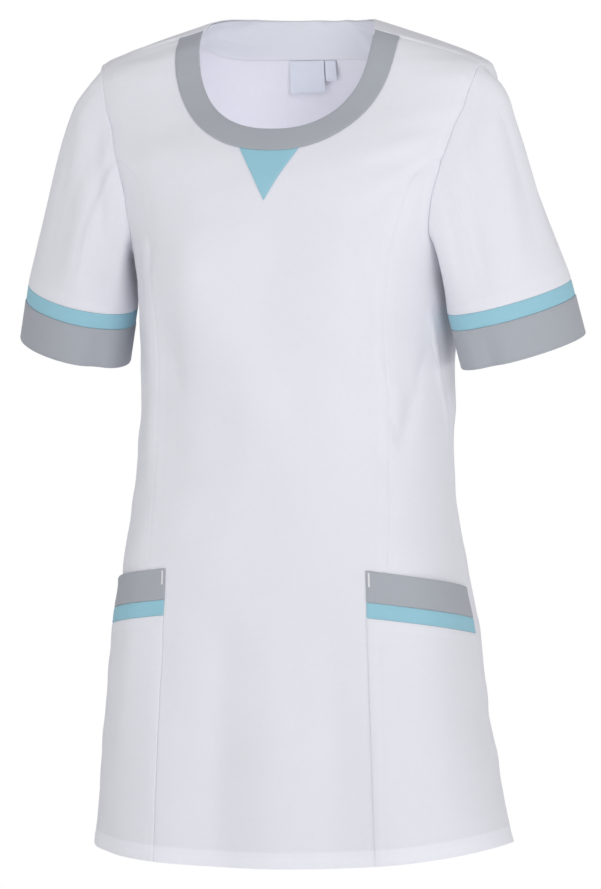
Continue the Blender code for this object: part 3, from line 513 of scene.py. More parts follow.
def inset(points, normals, edges, distance):
    """Draw the rim in by a distance, along the cloth."""
    inward = {}
    for start, end in edges:
        side = np.cross(normals[start] + normals[end], points[end] - points[start])
        side /= np.linalg.norm(side)
        inward.setdefault(start, []).append(side)
        inward.setdefault(end, []).append(side)
    moved = points.copy()
    for vertex, sides in inward.items():
        share = max(SHARP_CORNER, 1 + float(sides[0] @ sides[-1]))
        moved[vertex] += sum(sides) / share * distance
    return moved


def read_along(wanted, length, values):
    """Values known at some lengths along a line, at the wanted lengths."""
    return np.stack([np.interp(wanted, length, column) for column in values.T], -1)


def along_cloth(line, step):
    """The line again with even steps along the cloth."""
    length = distance_along(plain_body(*line.T))
    wanted = np.linspace(0, length[-1], max(2, int(round(length[-1] / step)) + 1))
    return read_along(wanted, length, line)


def beside(line, away):
    """The line moved sideways along the cloth, to the left of its run where away is positive."""
    angle, height = line.T
    by_angle, by_height = slopes_of(plain_body, angle, height)
    run = by_angle * np.gradient(angle)[:, None] + by_height * np.gradient(height)[:, None]
    side = unit(np.cross(np.cross(by_angle, by_height), run)) * away
    aa = np.sum(by_angle * by_angle, axis=1)
    ah = np.sum(by_angle * by_height, axis=1)
    hh = np.sum(by_height * by_height, axis=1)
    sa = np.sum(side * by_angle, axis=1)
    sh = np.sum(side * by_height, axis=1)
    whole = aa * hh - ah * ah
    return np.stack([angle + (sa * hh - sh * ah) / whole, height + (sh * aa - sa * ah) / whole], -1)


STITCH_PITCH = 0.0029
STITCH_LENGTH = 0.0023
STITCH_WIDTH = 0.00050
STITCH_HEIGHT = 0.00028
SEAM_STEP = 0.004
STITCH_STEP = 0.0015


def thread_stitches(points, normals, pitch=STITCH_PITCH, length=STITCH_LENGTH, width=STITCH_WIDTH):
    """Stitches along a line of points: each is a grain that tapers into the cloth at both ends."""
    travel = distance_along(points)
    starts = np.arange(pitch / 2, travel[-1] - length, pitch)
    first, middle, last = (read_along(starts + share * length, travel, points) for share in (0.0, 0.5, 1.0))
    up = read_along(starts + 0.5 * length, travel, normals)
    side = unit(np.cross(up, last - first)) * width / 2
    up = up * STITCH_HEIGHT
    corners = [first, middle + side, middle + up, middle - side, middle - up, last]
    vertices = np.stack(corners, 1).reshape(-1, 3)
    grain = [(0, 2, 1), (0, 3, 2), (0, 4, 3), (0, 1, 4), (5, 1, 2), (5, 2, 3), (5, 3, 4), (5, 4, 1)]
    faces = (np.array(grain) + 6 * np.arange(len(starts))[:, None, None]).reshape(-1, 3)
    return vertices, faces


def sewn(line, away=0.0, layer=0.0, lift=None, **kinds):
    """Stitches on the outside of the cloth, beside a line of (angle, height) points."""
    angle, height = along_cloth(beside(along_cloth(np.asarray(line), SEAM_STEP), away), STITCH_STEP).T
    normals = normal_of(body, angle, height)
    proud = layer + (lift(angle, height) if lift else 0.0)
    face = WALL / 2 * (1 if layer >= 0 else -1)
    points = body(angle, height) + normals * np.reshape(proud + face, (-1, 1))
    return thread_stitches(points, normals, **kinds)


SHARP_ANGLE = radians(60.0)


def show(name, vertices, faces, face_finish, uv, edge, finishes, girth=0.0):
    """Make a mesh object. Its weave starts again after a girth, and edge is each point's way to the rim."""
    mesh = bpy.data.meshes.new(name)
    mesh.from_pydata(vertices.tolist(), [], faces)
    layer = mesh.uv_layers.new(name="weave")
    loops = np.empty(len(mesh.loops), np.int32)
    mesh.loops.foreach_get("vertex_index", loops)
    places = uv[loops]
    if girth:
        first = np.repeat([face[0] for face in faces], [len(face) for face in faces])
        places[:, 0] -= girth * np.round((places[:, 0] - uv[first, 0]) / girth)
    layer.data.foreach_set("uv", places.astype(np.float32).ravel())
    rim = mesh.attributes.new("edge", "FLOAT", "POINT")
    rim.data.foreach_set("value", edge.astype(np.float32))
    for finish in finishes:
        mesh.materials.append(finish)
    mesh.polygons.foreach_set("material_index", np.asarray(face_finish, np.int32))
    mesh.shade_smooth()
    mesh.set_sharp_from_angle(angle=SHARP_ANGLE)
    return place_object(name, mesh)


def with_stitches(vertices, faces, uv, edge, stitches):
    """Add stitches to a piece's mesh, in its second finish."""
    face_finish = [0] * len(faces)
    for grain_vertices, grain_faces in stitches:
        start = len(vertices)
        vertices = np.vstack([vertices, grain_vertices])
        faces = faces + (grain_faces + start).tolist()
        face_finish += [1] * len(grain_faces)
        uv = np.vstack([uv, grain_vertices[:, [0, 2]]])
        edge = np.append(edge, np.zeros(len(grain_vertices)))
    return vertices, faces, face_finish, uv, edge


# Rows of the net lie as far apart as in even triangles.
ROW_SPACING = 0.87
NET_SAMPLES = 260


def net_of(lines, cell):
    """Points and triangles that fill an outline. Each of its lines starts where the last one ends."""
    rim = to_net(np.vstack([along_cloth(np.asarray(line), cell)[:-1] for line in lines]))
    closed = np.vstack([rim, rim[:1]])
    low, high = rim.min(axis=0), rim.max(axis=0)
    fill = []
    across = np.linspace(low[0], high[0], NET_SAMPLES)
    for number, row in enumerate(np.arange(low[1] + cell / 2, high[1], cell * ROW_SPACING)):
        places = from_net(np.stack([across, np.full(NET_SAMPLES, row)], -1))
        length = distance_along(plain_body(*places.T))
        wanted = np.arange(cell * (0.5 if number % 2 else 1.0), length[-1], cell)
        fill += [(x, row) for x in np.interp(wanted, length, across)]
    fill = np.array(fill)
    fill = fill[inside(rim, fill)]
    fill = fill[distance_to(closed, fill) > cell * LINE_CLEARANCE]
    points = [tuple(point) for point in np.vstack([rim, fill])]
    edges = [(i, (i + 1) % len(rim)) for i in range(len(rim))]
    vertices, _, cells, _, _, _ = delaunay_2d_cdt(points, edges, [], 0, SAME)
    flat = np.array([tuple(vertex) for vertex in vertices])
    cells = np.array(cells)
    return flat, cells[inside(rim, flat[cells].mean(axis=1))]


def cut_cloth(name, lines, finishes, layer=0.0, lift=None, stitches=(), cell=CELL):
    """One piece of cloth inside its lines: a closed wall whose edges are rounded over."""
    gap, drop = (SEAM_GAP, EDGE_DROP) if layer else (SEAM_LEFT_OPEN, SEAM_DROP)
    flat, cells = net_of(lines, cell)
    used, cells = np.unique(cells, return_inverse=True)
    cells = cells.reshape(-1, 3)
    flat = flat[used]
    places = from_net(flat)
    angle, height = places.T
    points = body(angle, height)
    normals = normal_of(body, angle, height)
    facing = np.cross(points[cells[:, 1]] - points[cells[:, 0]], points[cells[:, 2]] - points[cells[:, 0]])
    if np.mean(np.sum(facing * normals[cells[:, 0]], axis=1)) < 0:
        cells = cells[:, ::-1]
    directed = {(int(a), int(b)) for corners in cells for a, b in zip(corners, np.roll(corners, -1))}
    edges = sorted((a, b) for a, b in directed if (b, a) not in directed)
    offset = layer + (lift(angle, height) if lift else 0.0)
    middle = points + normals * np.reshape(offset, (-1, 1))
    brink = inset(middle, normals, edges, gap / 2)
    level = inset(middle, normals, edges, gap / 2 + SOFT_EDGE)
    count = len(middle)
    rim = sorted({a for a, _ in edges})
    place_of = {vertex: i for i, vertex in enumerate(rim)}
    up = normals[rim]
    outer, inner = level + normals * WALL / 2, level - normals * WALL / 2
    brink_outer = brink[rim] + up * (WALL / 2 - drop)
    brink_inner = brink[rim] - up * (WALL / 2 - drop / 2)
    vertices = np.vstack([outer, inner, brink_outer, brink_inner])
    faces = cells.tolist() + (cells[:, ::-1] + count).tolist()
    for a, b in edges:
        over_a, over_b = 2 * count + place_of[a], 2 * count + place_of[b]
        under_a, under_b = over_a + len(rim), over_b + len(rim)
        faces.append([b, a, over_a, over_b])
        faces.append([over_b, over_a, under_a, under_b])
        faces.append([under_b, under_a, a + count, b + count])
    tree = KDTree(len(rim))
    for i, vertex in enumerate(rim):
        tree.insert(middle[vertex], i)
    tree.balance()
    away = np.array([tree.find(point)[2] for point in middle])
    edge = np.concatenate([away, away, np.zeros(2 * len(rim))])
    u = (angle - angle.mean()) * np.interp(height, PROFILE_HEIGHTS, PROFILE_GIRTH)
    uv = np.stack([u, flat[:, 1]], -1)
    uv = np.vstack([uv, uv, uv[rim], uv[rim]])
    piece = show(name, *with_stitches(vertices, faces, uv, edge, stitches), finishes)
    # How far each point of the cloth lies below the top of the turned hem.
    into_hem = HEM_DEPTH - (height - hem_height(angle))
    into_hem = np.concatenate([into_hem, into_hem, into_hem[rim], into_hem[rim]])
    into_hem = np.append(into_hem, np.zeros(len(piece.data.vertices) - len(into_hem)))
    hem = piece.data.attributes.new("hem", "FLOAT", "POINT")
    hem.data.foreach_set("value", into_hem.astype(np.float32))
    return piece


GIRTH_STEPS = 180
GIRTH_EVERY = 40


def girth_radius(height):
    """Mean radius of the body at a height."""
    turns = np.linspace(0, 2 * pi, GIRTH_STEPS + 1)
    return distance_along(plain_body(turns, np.full(turns.shape, height)))[-1] / (2 * pi)


girth_heights = PROFILE_HEIGHTS[::GIRTH_EVERY]
PROFILE_GIRTH = np.interp(PROFILE_HEIGHTS, girth_heights, [girth_radius(h) for h in girth_heights])

# Twill: yarns 0.42 mm apart, seen as fine diagonal ribs, and a coarser slub over them.
RIB_PITCH = 0.00042
RIB_SLANT = 0.62
WEFT_PITCH = RIB_PITCH * 1.3
SLUB_SCALE = 260.0
CLOUD_SCALE = 9.0
RIB_RELIEF = 0.30
WEFT_RELIEF = 0.12
SLUB_RELIEF = 1.1
RELIEF = {"Strength": 0.35, "Distance": 0.00016}
CLOUD_SHADE = 0.05
SLUB_SHADE = 0.035
RIB_SHADE = 0.008
# Seam allowances and the doubled cloth of a hem let less light through, so they look whiter.
ALLOWANCE = 0.0095
ALLOWANCE_BLUR = 0.0012
ALLOWANCE_WHITER = 0.012
HEM_WHITER = 0.07
HEM_BLUR = 0.0020
TWILL_SHEEN = {"Sheen Weight": 0.12, "Sheen Roughness": 0.45, "Specular IOR Level": 0.22}


def set_inputs(tree, node, inputs):
    """Give a node's inputs their values, or join them to other nodes' outputs."""
    for socket, value in inputs.items():
        if isinstance(value, bpy.types.NodeSocket):
            tree.links.new(value, node.inputs[socket])
        else:
            node.inputs[socket].default_value = value


def add_node(tree, kind, inputs=None, **settings):
    node = tree.nodes.new("ShaderNode" + kind)
    for setting, value in settings.items():
        setattr(node, setting, value)
    set_inputs(tree, node, inputs or {})
    return node


def new_finish(name, inputs):
    """A new material, with its nodes and its shader."""
    finish = bpy.data.materials.new(name)
    finish.use_nodes = True
    shader = finish.node_tree.nodes["Principled BSDF"]
    set_inputs(finish.node_tree, shader, inputs)
    return finish, finish.node_tree, shader


def twill(name, colour, rib=1.0, allowance=ALLOWANCE_WHITER, roughness=0.86):
    """Twill cloth: its colour varies softly, ribs and slub stand out, and doubled cloth is whiter."""
    finish, tree, shader = new_finish(name, {"Roughness": roughness, **TWILL_SHEEN})
    weave = add_node(tree, "UVMap", uv_map="weave").outputs["UV"]
    place = add_node(tree, "TexCoord").outputs["Object"]
    slub, cloud = (
        add_node(tree, "TexNoise", {"Vector": place, "Scale": scale, "Detail": detail}).outputs[0]
        for scale, detail in ((SLUB_SCALE, 3.0), (CLOUD_SCALE, 4.0))
    )

    def calculate(operation, *values):
        return add_node(tree, "Math", dict(enumerate(values)), operation=operation).outputs[0]

    def waves(run, pitch):
        return calculate("SINE", calculate("MULTIPLY", run, 2 * pi / pitch))

    def total(value, *parts):
        """A value plus each part, given with the level at which it adds nothing and its weight."""
        for part, level, weight in parts:
            part = calculate("SUBTRACT", part, level) if level else part
            value = calculate("ADD", value, calculate("MULTIPLY", part, weight))
        return value

    def zone(attribute, start, end):
        """Rises from 0 to 1 as an attribute of the mesh goes from start to end."""
        distance = add_node(tree, "Attribute", attribute_name=attribute).outputs["Fac"]
        limits = {"Value": distance, "From Min": start, "From Max": end}
        return add_node(tree, "MapRange", limits, interpolation_type="SMOOTHSTEP").outputs[0]

    warp_way, weft_way = add_node(tree, "SeparateXYZ", {0: weave}).outputs[:2]
    ribs = waves(calculate("ADD", warp_way, calculate("MULTIPLY", weft_way, RIB_SLANT)), RIB_PITCH)
    weft = waves(weft_way, WEFT_PITCH)
    height = total(0.0, (ribs, 0, RIB_RELIEF * rib), (weft, 0, WEFT_RELIEF * rib), (slub, 0, SLUB_RELIEF))
    light = total(
        1.0,
        (cloud, 0.5, CLOUD_SHADE),
        (slub, 0.5, SLUB_SHADE),
        (ribs, 0, RIB_SHADE * rib),
        (zone("edge", ALLOWANCE + ALLOWANCE_BLUR, ALLOWANCE), 0, allowance),
        (zone("hem", 0.0, HEM_BLUR), 0, HEM_WHITER),
    )
    grey = add_node(tree, "CombineColor", {0: light, 1: light, 2: light}).outputs[0]
    layers = {0: 1.0, 6: (*colour, 1.0), 7: grey}
    tint = add_node(tree, "Mix", layers, data_type="RGBA", blend_type="MULTIPLY")
    bump = add_node(tree, "Bump", {"Height": height, **RELIEF})
    set_inputs(tree, shader, {"Base Color": tint.outputs[2], "Normal": bump.outputs["Normal"]})
    return finish


TWIST_SCALE = 2400.0
TWIST_SHADE = 0.88


def thread(name, colour):
    """Sewing thread: smoother than the cloth, with a fine twist."""
    finish, tree, shader = new_finish(name, {"Roughness": 0.6, "Sheen Weight": 0.2})
    place = add_node(tree, "TexCoord").outputs["Object"]
    twist = add_node(tree, "TexNoise", {"Vector": place, "Scale": TWIST_SCALE}).outputs[0]
    ramp = add_node(tree, "ValToRGB", {0: twist})
    ramp.color_ramp.elements[0].color = (*[TWIST_SHADE * c for c in colour], 1.0)
    ramp.color_ramp.elements[1].color = (*colour, 1.0)
    set_inputs(tree, shader, {"Base Color": ramp.outputs[0]})
    return finish


WHITE = (0.785, 0.785, 0.845)
white_twill = twill("white_twill", WHITE)
WHITE_THREAD = (0.83, 0.83, 0.85)
HEM_STITCH_END = 0.01
white_thread = thread("white_thread", WHITE_THREAD)

princess = princess_line()
neck = scoop(NECK_HALF_WIDTH, 0.0, -NECK_DEPTH, NECK_SQUARENESS, 40)
neck[-1] = shoulder(0, 1, 1)[0]
front_top = armhole(np.linspace(princess_turn, 0, 60))
centre_side = [princess, front_top, shoulder(1, 0, 26), neck[::-1]]
centre_hem_end = princess[0, 0] - HEM_STITCH_END
front_centre = cut_cloth(
    "front_centre",
    [hem_line(-princess[0, 0], princess[0, 0], 60)] + centre_side + mirrored_lines(centre_side),
    [white_twill, white_thread],
    stitches=[sewn(hem_line(-centre_hem_end, centre_hem_end, 80), HEM_DEPTH)],
)
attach(front_centre, "root")
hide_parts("front_centre")


# Front sides. A panel on each side from the princess seam round to the side seam, in the same
# white twill. Both seams are sewn, and below the vent's top the side edge hangs free.
SideSeam = namedtuple("SideSeam", "height angle")
SIDE_SEAM = (
    SideSeam(-0.800, radians(94.0)),
    SideSeam(-0.420, radians(93.0)),
    SideSeam(-0.365, radians(85.0)),
    SideSeam(-0.325, radians(75.0)),
    SideSeam(-0.285, radians(69.0)),
    SideSeam(-0.212, radians(87.5)),
)
VENT_SPREAD = radians(2.6)
VENT_STITCH_END = 0.005
side_seam_at = smooth_table(SIDE_SEAM)


def side_points(heights, sheet):
    """Side edge at some heights. In a vent the front (sheet -1) and back (1) edges stand apart."""
    spread = VENT_SPREAD * np.clip((VENT_TOP - heights) / (VENT_TOP - HEM_CENTRE), 0, 1)
    return np.stack([side_seam_at(heights)[:, 0] + sheet * spread, heights], -1)


def side_line(sheet):
    """Side edge from hem to armpit."""
    vent = np.linspace(HEM_CENTRE + HEM_SIDE_RISE, VENT_TOP, 40)
    heights = np.append(vent, np.linspace(VENT_TOP, PIT_HEIGHT, 120)[1:])
    line = side_points(heights, sheet)
    line[0, 1] = hem_height(line[0, 0])
    line[-1] = armhole(np.array([pi]))[0]
    return line


front_edge = side_line(-1)
front_low = armhole(np.linspace(pi, princess_turn, 60))
side_lines = [hem_line(princess[0, 0], front_edge[0, 0], 30), front_edge, front_low, princess[::-1]]
side_hem = hem_line(princess[0, 0] + HEM_STITCH_END, front_edge[0, 0] - VENT_STITCH_END, 40)
for hand in ("left", "right"):
    left = hand == "left"
    front_side = cut_cloth(
        f"front_side_{hand}",
        side_lines if left else mirrored_lines(side_lines),
        [white_twill, white_thread],
        stitches=[sewn(side_hem if left else mirrored(side_hem), HEM_DEPTH)],
    )
    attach(front_side, "root")
    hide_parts(f"front_side_{hand}")


# Back. One panel from side seam to side seam and up to the shoulder seams, in white twill with
# a turned hem.
BACK_NECK_RISE = 0.0115
BACK_NECK_POWER = 7
FACING_HALF_WIDTH = 0.118
FACING_BOTTOM = -0.0248
FACING_FLAT = radians(16.0)
FACING_SCOOP = radians(42.0)
NECK_STITCH = 0.0068


def across_back(line):
    """The same line on the other side of the centre back, run the other way."""
    return np.stack([2 * pi - line[::-1, 0], line[::-1, 1]], -1)


back_edge = side_line(1)
turn_to_back = np.linspace(SEAM_ANGLE_NECK, pi, 60)
back_rise = BACK_NECK_RISE * (1 - ((pi - turn_to_back) / (pi - SEAM_ANGLE_NECK)) ** BACK_NECK_POWER)
back_neck = np.stack([turn_to_back, back_rise], -1)
back_neck_whole = np.vstack([back_neck, across_back(back_neck)[1:]])
back_half = [back_edge, armhole(-np.linspace(pi, 0, 120)), shoulder(1, 0, 26), back_neck]
back_hem = hem_line(back_edge[0, 0], 2 * pi - back_edge[0, 0], 80)
back_hem_start = back_edge[0, 0] + VENT_STITCH_END
back = cut_cloth(
    "back",
    [back_hem[::-1]] + back_half + [across_back(line) for line in back_half[::-1]],
    [white_twill, white_thread],
    stitches=[
        sewn(hem_line(back_hem_start, 2 * pi - back_hem_start, 80), HEM_DEPTH),
        sewn(back_neck_whole, -NECK_STITCH),
    ],
)
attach(back, "root")
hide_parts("back")


# Neck band. Grey twill laid on the front round the neck opening, sewn down along both edges
# and into the shoulder seams.
BAND_HALF_WIDTH = 0.108
BAND_DEPTH = 0.1143
BAND_SQUARENESS = 2.25
BAND_STITCH = 0.0018
BAND_CELL = 0.0035
GREY = (0.40, 0.42, 0.46)
grey_twill = twill("grey_twill", GREY, allowance=0.0)
grey_thread = thread("grey_thread", GREY)

band_share = shoulder_share(BAND_HALF_WIDTH)
band_seam = shoulder(0, band_share, 8)
band_end = band_seam[-1]
band = scoop(BAND_HALF_WIDTH, band_end[1], -BAND_DEPTH, BAND_SQUARENESS, 60)
band[-1] = band_end
neck_whole = np.vstack([mirrored(neck), neck[1:]])
band_whole = np.vstack([mirrored(band), band[1:]])
neck_band = cut_cloth(
    "neck_band",
    [mirrored(neck), neck, band_seam, band[::-1], mirrored(band[::-1]), mirrored(band_seam)],
    [grey_twill, grey_thread],
    layer=LAYER,
    cell=BAND_CELL,
    stitches=[sewn(neck_whole, -BAND_STITCH, LAYER), sewn(band_whole, BAND_STITCH, LAYER)],
)
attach(neck_band, "root")
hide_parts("neck_band")


# Neck triangle. A small light blue insert below the middle of the band, laid on the front and
# sewn down round its edge.
TRIANGLE_HALF_WIDTH = 0.029
TRIANGLE_TIP = -0.161
TRIANGLE_CELL = 0.0030
BLUE = (0.31, 0.57, 0.68)
BLUE_THREAD = (0.34, 0.60, 0.70)
blue_twill = twill("blue_twill", BLUE, allowance=0.0)
blue_thread = thread("blue_thread", BLUE_THREAD)

band_x = plain_body(*band.T)[:, 0]
corner_height = float(np.interp(TRIANGLE_HALF_WIDTH, band_x, band[:, 1]))
corner = np.array([np.interp(TRIANGLE_HALF_WIDTH, band_x, band[:, 0]), corner_height])
triangle_top = np.vstack([band[band[:, 0] < corner[0]], corner])
triangle_side = np.linspace(corner, (0.0, TRIANGLE_TIP), 12)
neck_triangle = cut_cloth(
    "neck_triangle",
    [mirrored(triangle_top), triangle_top, triangle_side, mirrored(triangle_side)],
    [blue_twill, blue_thread],
    layer=LAYER,
    cell=TRIANGLE_CELL,
    stitches=[
        sewn(triangle_side[:-1], -BAND_STITCH, LAYER),
        sewn(mirrored(triangle_side)[1:], -BAND_STITCH, LAYER),
    ],
)
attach(neck_triangle, "root")
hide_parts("neck_triangle")


# Back neck facing. White twill inside the back of the neck, sewn into the neck edge and the
# shoulder seams and stitched down along its scooped lower edge.
FACING_STITCH = 0.0015
FACING_CELL = 0.0040
FACING_WHITE = (0.72, 0.735, 0.785)
facing_twill = twill("facing_twill", FACING_WHITE, allowance=0.0)

facing_share = shoulder_share(FACING_HALF_WIDTH)
facing_seam = shoulder(0, facing_share, 8)
facing_end = facing_seam[-1]
facing_angles = np.linspace(pi, facing_end[0], 90)
scooped = np.clip((pi - facing_angles - FACING_FLAT) / FACING_SCOOP, 0, 1)
facing_heights = FACING_BOTTOM + (facing_end[1] - FACING_BOTTOM) * scooped**2 * (3 - 2 * scooped)
facing = np.stack([facing_angles, facing_heights], -1)
facing_low = np.vstack([facing[::-1], across_back(facing[::-1])[1:]])
back_neck_facing = cut_cloth(
    "back_neck_facing",
    [facing_seam, facing[::-1], across_back(facing[::-1]), across_back(facing_seam),
     across_back(back_neck)[::-1], back_neck[::-1]],
    [facing_twill, white_thread],
    layer=-LAYER,
    cell=FACING_CELL,
    stitches=[
        sewn(facing_low[2:-2], FACING_STITCH, -LAYER),
        sewn(back_neck_whole, -NECK_STITCH, -LAYER),
    ],
)
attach(back_neck_facing, "root")
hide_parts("back_neck_facing")


# Neck label and size tab. Bare pieces of smooth white woven tape that hang from the facing's
# lower edge at the centre back, sewn along their tops.
LABEL_WIDTH = 0.034
LABEL_LENGTH = 0.029
LABEL_CENTRE = -0.009
TAB_WIDTH = 0.011
TAB_LENGTH = 0.018
TAB_CENTRE = 0.0145
LABEL_STANDS_OFF = 0.24
TAPE_BETWEEN = pi - 0.8, pi + 0.8
TAPE_CELL = 0.0025
LABEL_WHITE = (0.69, 0.72, 0.80)
tape = twill("label_tape", LABEL_WHITE, rib=0.5, allowance=0.0, roughness=0.6)


def label_lift(angle, height):
    """The tape hangs nearly straight, so its lower end stands a little off the sloping back."""
    return LABEL_STANDS_OFF * np.clip(height - FACING_BOTTOM + SEAM_GAP, None, 0)


def tape_lines(centre, width, length):
    """The four edges of a piece of tape below the facing."""
    top = FACING_BOTTOM - SEAM_GAP
    corners = [(centre + width * side, top - length * down)
               for side, down in ((-0.5, 0), (0.5, 0), (0.5, 1), (-0.5, 1), (-0.5, 0))]
    lines = []
    for start, end in zip(corners[:-1], corners[1:]):
        run = np.linspace(start, end, 12)
        lines.append(np.stack([angle_where(0, *run.T, *TAPE_BETWEEN), run[:, 1]], -1))
    return lines


for name, centre, width, length in (
    ("neck_label", LABEL_CENTRE, LABEL_WIDTH, LABEL_LENGTH),
    ("size_tab", TAB_CENTRE, TAB_WIDTH, TAB_LENGTH),
):
    edges = tape_lines(centre, width, length)
    tag = cut_cloth(name, edges, [tape], layer=-LAYER, lift=label_lift, cell=TAPE_CELL)
    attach(tag, "root")
    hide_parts(name)


# Patch pockets. On each side a white pocket runs from the hem to a slanted mouth, which is
# edged with a light blue stripe and a grey band. Two rows of stitches hold its inner edge to
# the front, and its outer edge is sewn into the side seam.
POCKET_MOUTH_INNER = -0.506
POCKET_MOUTH_OUTER = -0.526
POCKET_BAND = 0.0298
POCKET_STRIPE = 0.0147
POCKET_INNER_TOP = 0.0973
POCKET_INNER_HEM = 0.1085
POCKET_GAPE = 0.0028
GAPE_FROM = radians(38.0)
GAPE_LENGTH = 0.10
POCKET_ROWS = (0.0016, 0.0056)
STRIP_CELL = 0.0040
TACK_AWAY = 0.0030
TACK_ENDS = (0.002, 0.016)
# A bar tack's threads lie close together and across its length.
TACK = {"pitch": 0.0005, "length": 0.0011, "width": 0.0019}


def pocket_gape(angle, height):
    """A pocket stands a little away from the body at the middle of its mouth."""
    outer = side_seam_at(height)[..., 0]
    across = np.clip((np.abs(angle) - GAPE_FROM) / (outer - GAPE_FROM), 0, 1)
    mouth = POCKET_MOUTH_INNER + (POCKET_MOUTH_OUTER - POCKET_MOUTH_INNER) * across
    down = np.clip((mouth - height) / GAPE_LENGTH, 0, 1)
    return POCKET_GAPE * np.sin(pi * across) * (1 - down) ** 2


def pocket_inner(heights):
    share = (heights - HEM_CENTRE) / (POCKET_MOUTH_INNER - HEM_CENTRE)
    x = POCKET_INNER_HEM + (POCKET_INNER_TOP - POCKET_INNER_HEM) * share
    line = np.stack([angle_where(0, x, heights, 0.0, pi / 2), heights], -1)
    line[:, 1] = np.maximum(line[:, 1], hem_height(line[:, 0]))
    return line


def slant(drop):
    """Line across the pocket at a drop below its mouth."""
    start = pocket_inner(np.array([POCKET_MOUTH_INNER - drop]))[0]
    end = side_points(np.array([POCKET_MOUTH_OUTER - drop]), -1)[0]
    return np.linspace(start, end, 40)


def pocket_strip(upper, lower, lowest):
    """The four lines of a piece of the pocket."""
    outer = side_points(np.linspace(upper[-1, 1], lower[-1, 1], 60), -1)
    inner = pocket_inner(np.linspace(HEM_CENTRE if lowest else lower[0, 1], upper[0, 1], 60))
    outer[-1], inner[0] = lower[-1], lower[0]
    return [upper, outer, lower[::-1], inner]


mouth, band_low, stripe_low = slant(0.0), slant(POCKET_BAND), slant(POCKET_BAND + POCKET_STRIPE)
pocket_hem = hem_line(pocket_inner(np.array([HEM_CENTRE]))[0, 0], front_edge[0, 0], 40)
inner_run = pocket_inner(np.linspace(HEM_CENTRE, POCKET_MOUTH_INNER, 80))
below_stripe = inner_run[inner_run[:, 1] < stripe_low[0, 1]]
tack_run = pocket_inner(POCKET_MOUTH_INNER - np.linspace(TACK_ENDS[1], TACK_ENDS[0], 20))

# Each part's rows of stitches are lines with the distance at which the thread runs beside them.
PocketPart = namedtuple("PocketPart", "name lines finishes slot flat area rows kind")
POCKET_PARTS = (
    PocketPart(
        "pocket", pocket_strip(stripe_low, pocket_hem, True), [white_twill, white_thread],
        "white_cloth", (0.168, 0.24), 0.0376,
        [(below_stripe, -away) for away in POCKET_ROWS]
        + [(pocket_hem[1:-1], HEM_DEPTH), (stripe_low, -BAND_STITCH)], {},
    ),
    PocketPart(
        "pocket_stripe", pocket_strip(band_low, stripe_low, False), [blue_twill, blue_thread],
        "blue_cloth", (0.16, 0.018), 0.0025, [(stripe_low, BAND_STITCH)], {},
    ),
    PocketPart(
        "pocket_band", pocket_strip(mouth, band_low, False), [grey_twill, white_thread],
        "grey_cloth", (0.155, 0.034), 0.0049, [(tack_run, -TACK_AWAY)], TACK,
    ),
)
for part in POCKET_PARTS:
    for hand in ("left", "right"):
        left = hand == "left"
        piece = cut_cloth(
            f"{part.name}_{hand}",
            part.lines if left else mirrored_lines(part.lines),
            part.finishes,
            layer=LAYER,
            lift=pocket_gape,
            cell=CELL if part.name == "pocket" else STRIP_CELL,
            stitches=[
                sewn(row if left else mirrored(row), away, LAYER, pocket_gape, **part.kind)
                for row, away in part.rows
            ],
        )
        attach(piece, "root")
        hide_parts(f"{part.name}_{hand}")


# Sleeves. White twill set into the armholes, with easy folds over the cap and down the arm.
# Each is a tube that widens a little to its end, and is sewn to the body all round.
CUFF_CENTRE = (0.2215, 0.002, -0.302)
CUFF_BROAD = 0.0595
CUFF_NARROW = 0.0485
CUFF_TURN = radians(40.0)
CUFF_RISE_OUT = 0.217
CUFF_RISE_BACK = 0.205
CUFF_WIDTH = 0.0385
STRIPE_WIDTH = 0.015
CUFF_PROUD = 0.0006
CAP_FOLD = radians(-6.0)
PIT_FOLD = radians(105.0)
UNDERARM_DROP = 0.35
PIT_CLEARANCE = 1.6
SLEEVE_PULL = 0.36
SLEEVE_ROWS = 46
SLEEVE_TURNS = 112
SLEEVE_RADIUS = 0.055
SLEEVE_LENGTH = 0.16

# Soft folds of the sleeves: degrees round the sleeve and share of the way down.
SleeveFold = namedtuple("SleeveFold", "angle down half_angle half_down depth")
CAP_FOLDS = (
    SleeveFold(32.0, 0.30, 48.0, 0.34, 0.0090),
    SleeveFold(-20.0, 0.30, 36.0, 0.26, 0.0045),
)
SLEEVE_FOLDS = {
    "left": CAP_FOLDS + (
        SleeveFold(12.0, 0.14, 30.0, 0.11, 0.0075),
        SleeveFold(62.0, 0.62, 15.0, 0.34, 0.0030),
        SleeveFold(95.0, 0.70, 14.0, 0.30, -0.0032),
        SleeveFold(25.0, 0.45, 16.0, 0.30, -0.0020),
        SleeveFold(235.0, 0.55, 20.0, 0.35, -0.0030),
        SleeveFold(290.0, 0.60, 20.0, 0.35, 0.0026),
    ),
    "right": CAP_FOLDS + (
        SleeveFold(86.0, 0.64, 15.0, 0.36, 0.0034),
        SleeveFold(126.0, 0.64, 17.0, 0.36, -0.0042),
        SleeveFold(52.0, 0.60, 13.0, 0.32, -0.0016),
        SleeveFold(240.0, 0.55, 20.0, 0.35, -0.0030),
        SleeveFold(295.0, 0.60, 20.0, 0.35, 0.0026),
    ),
}

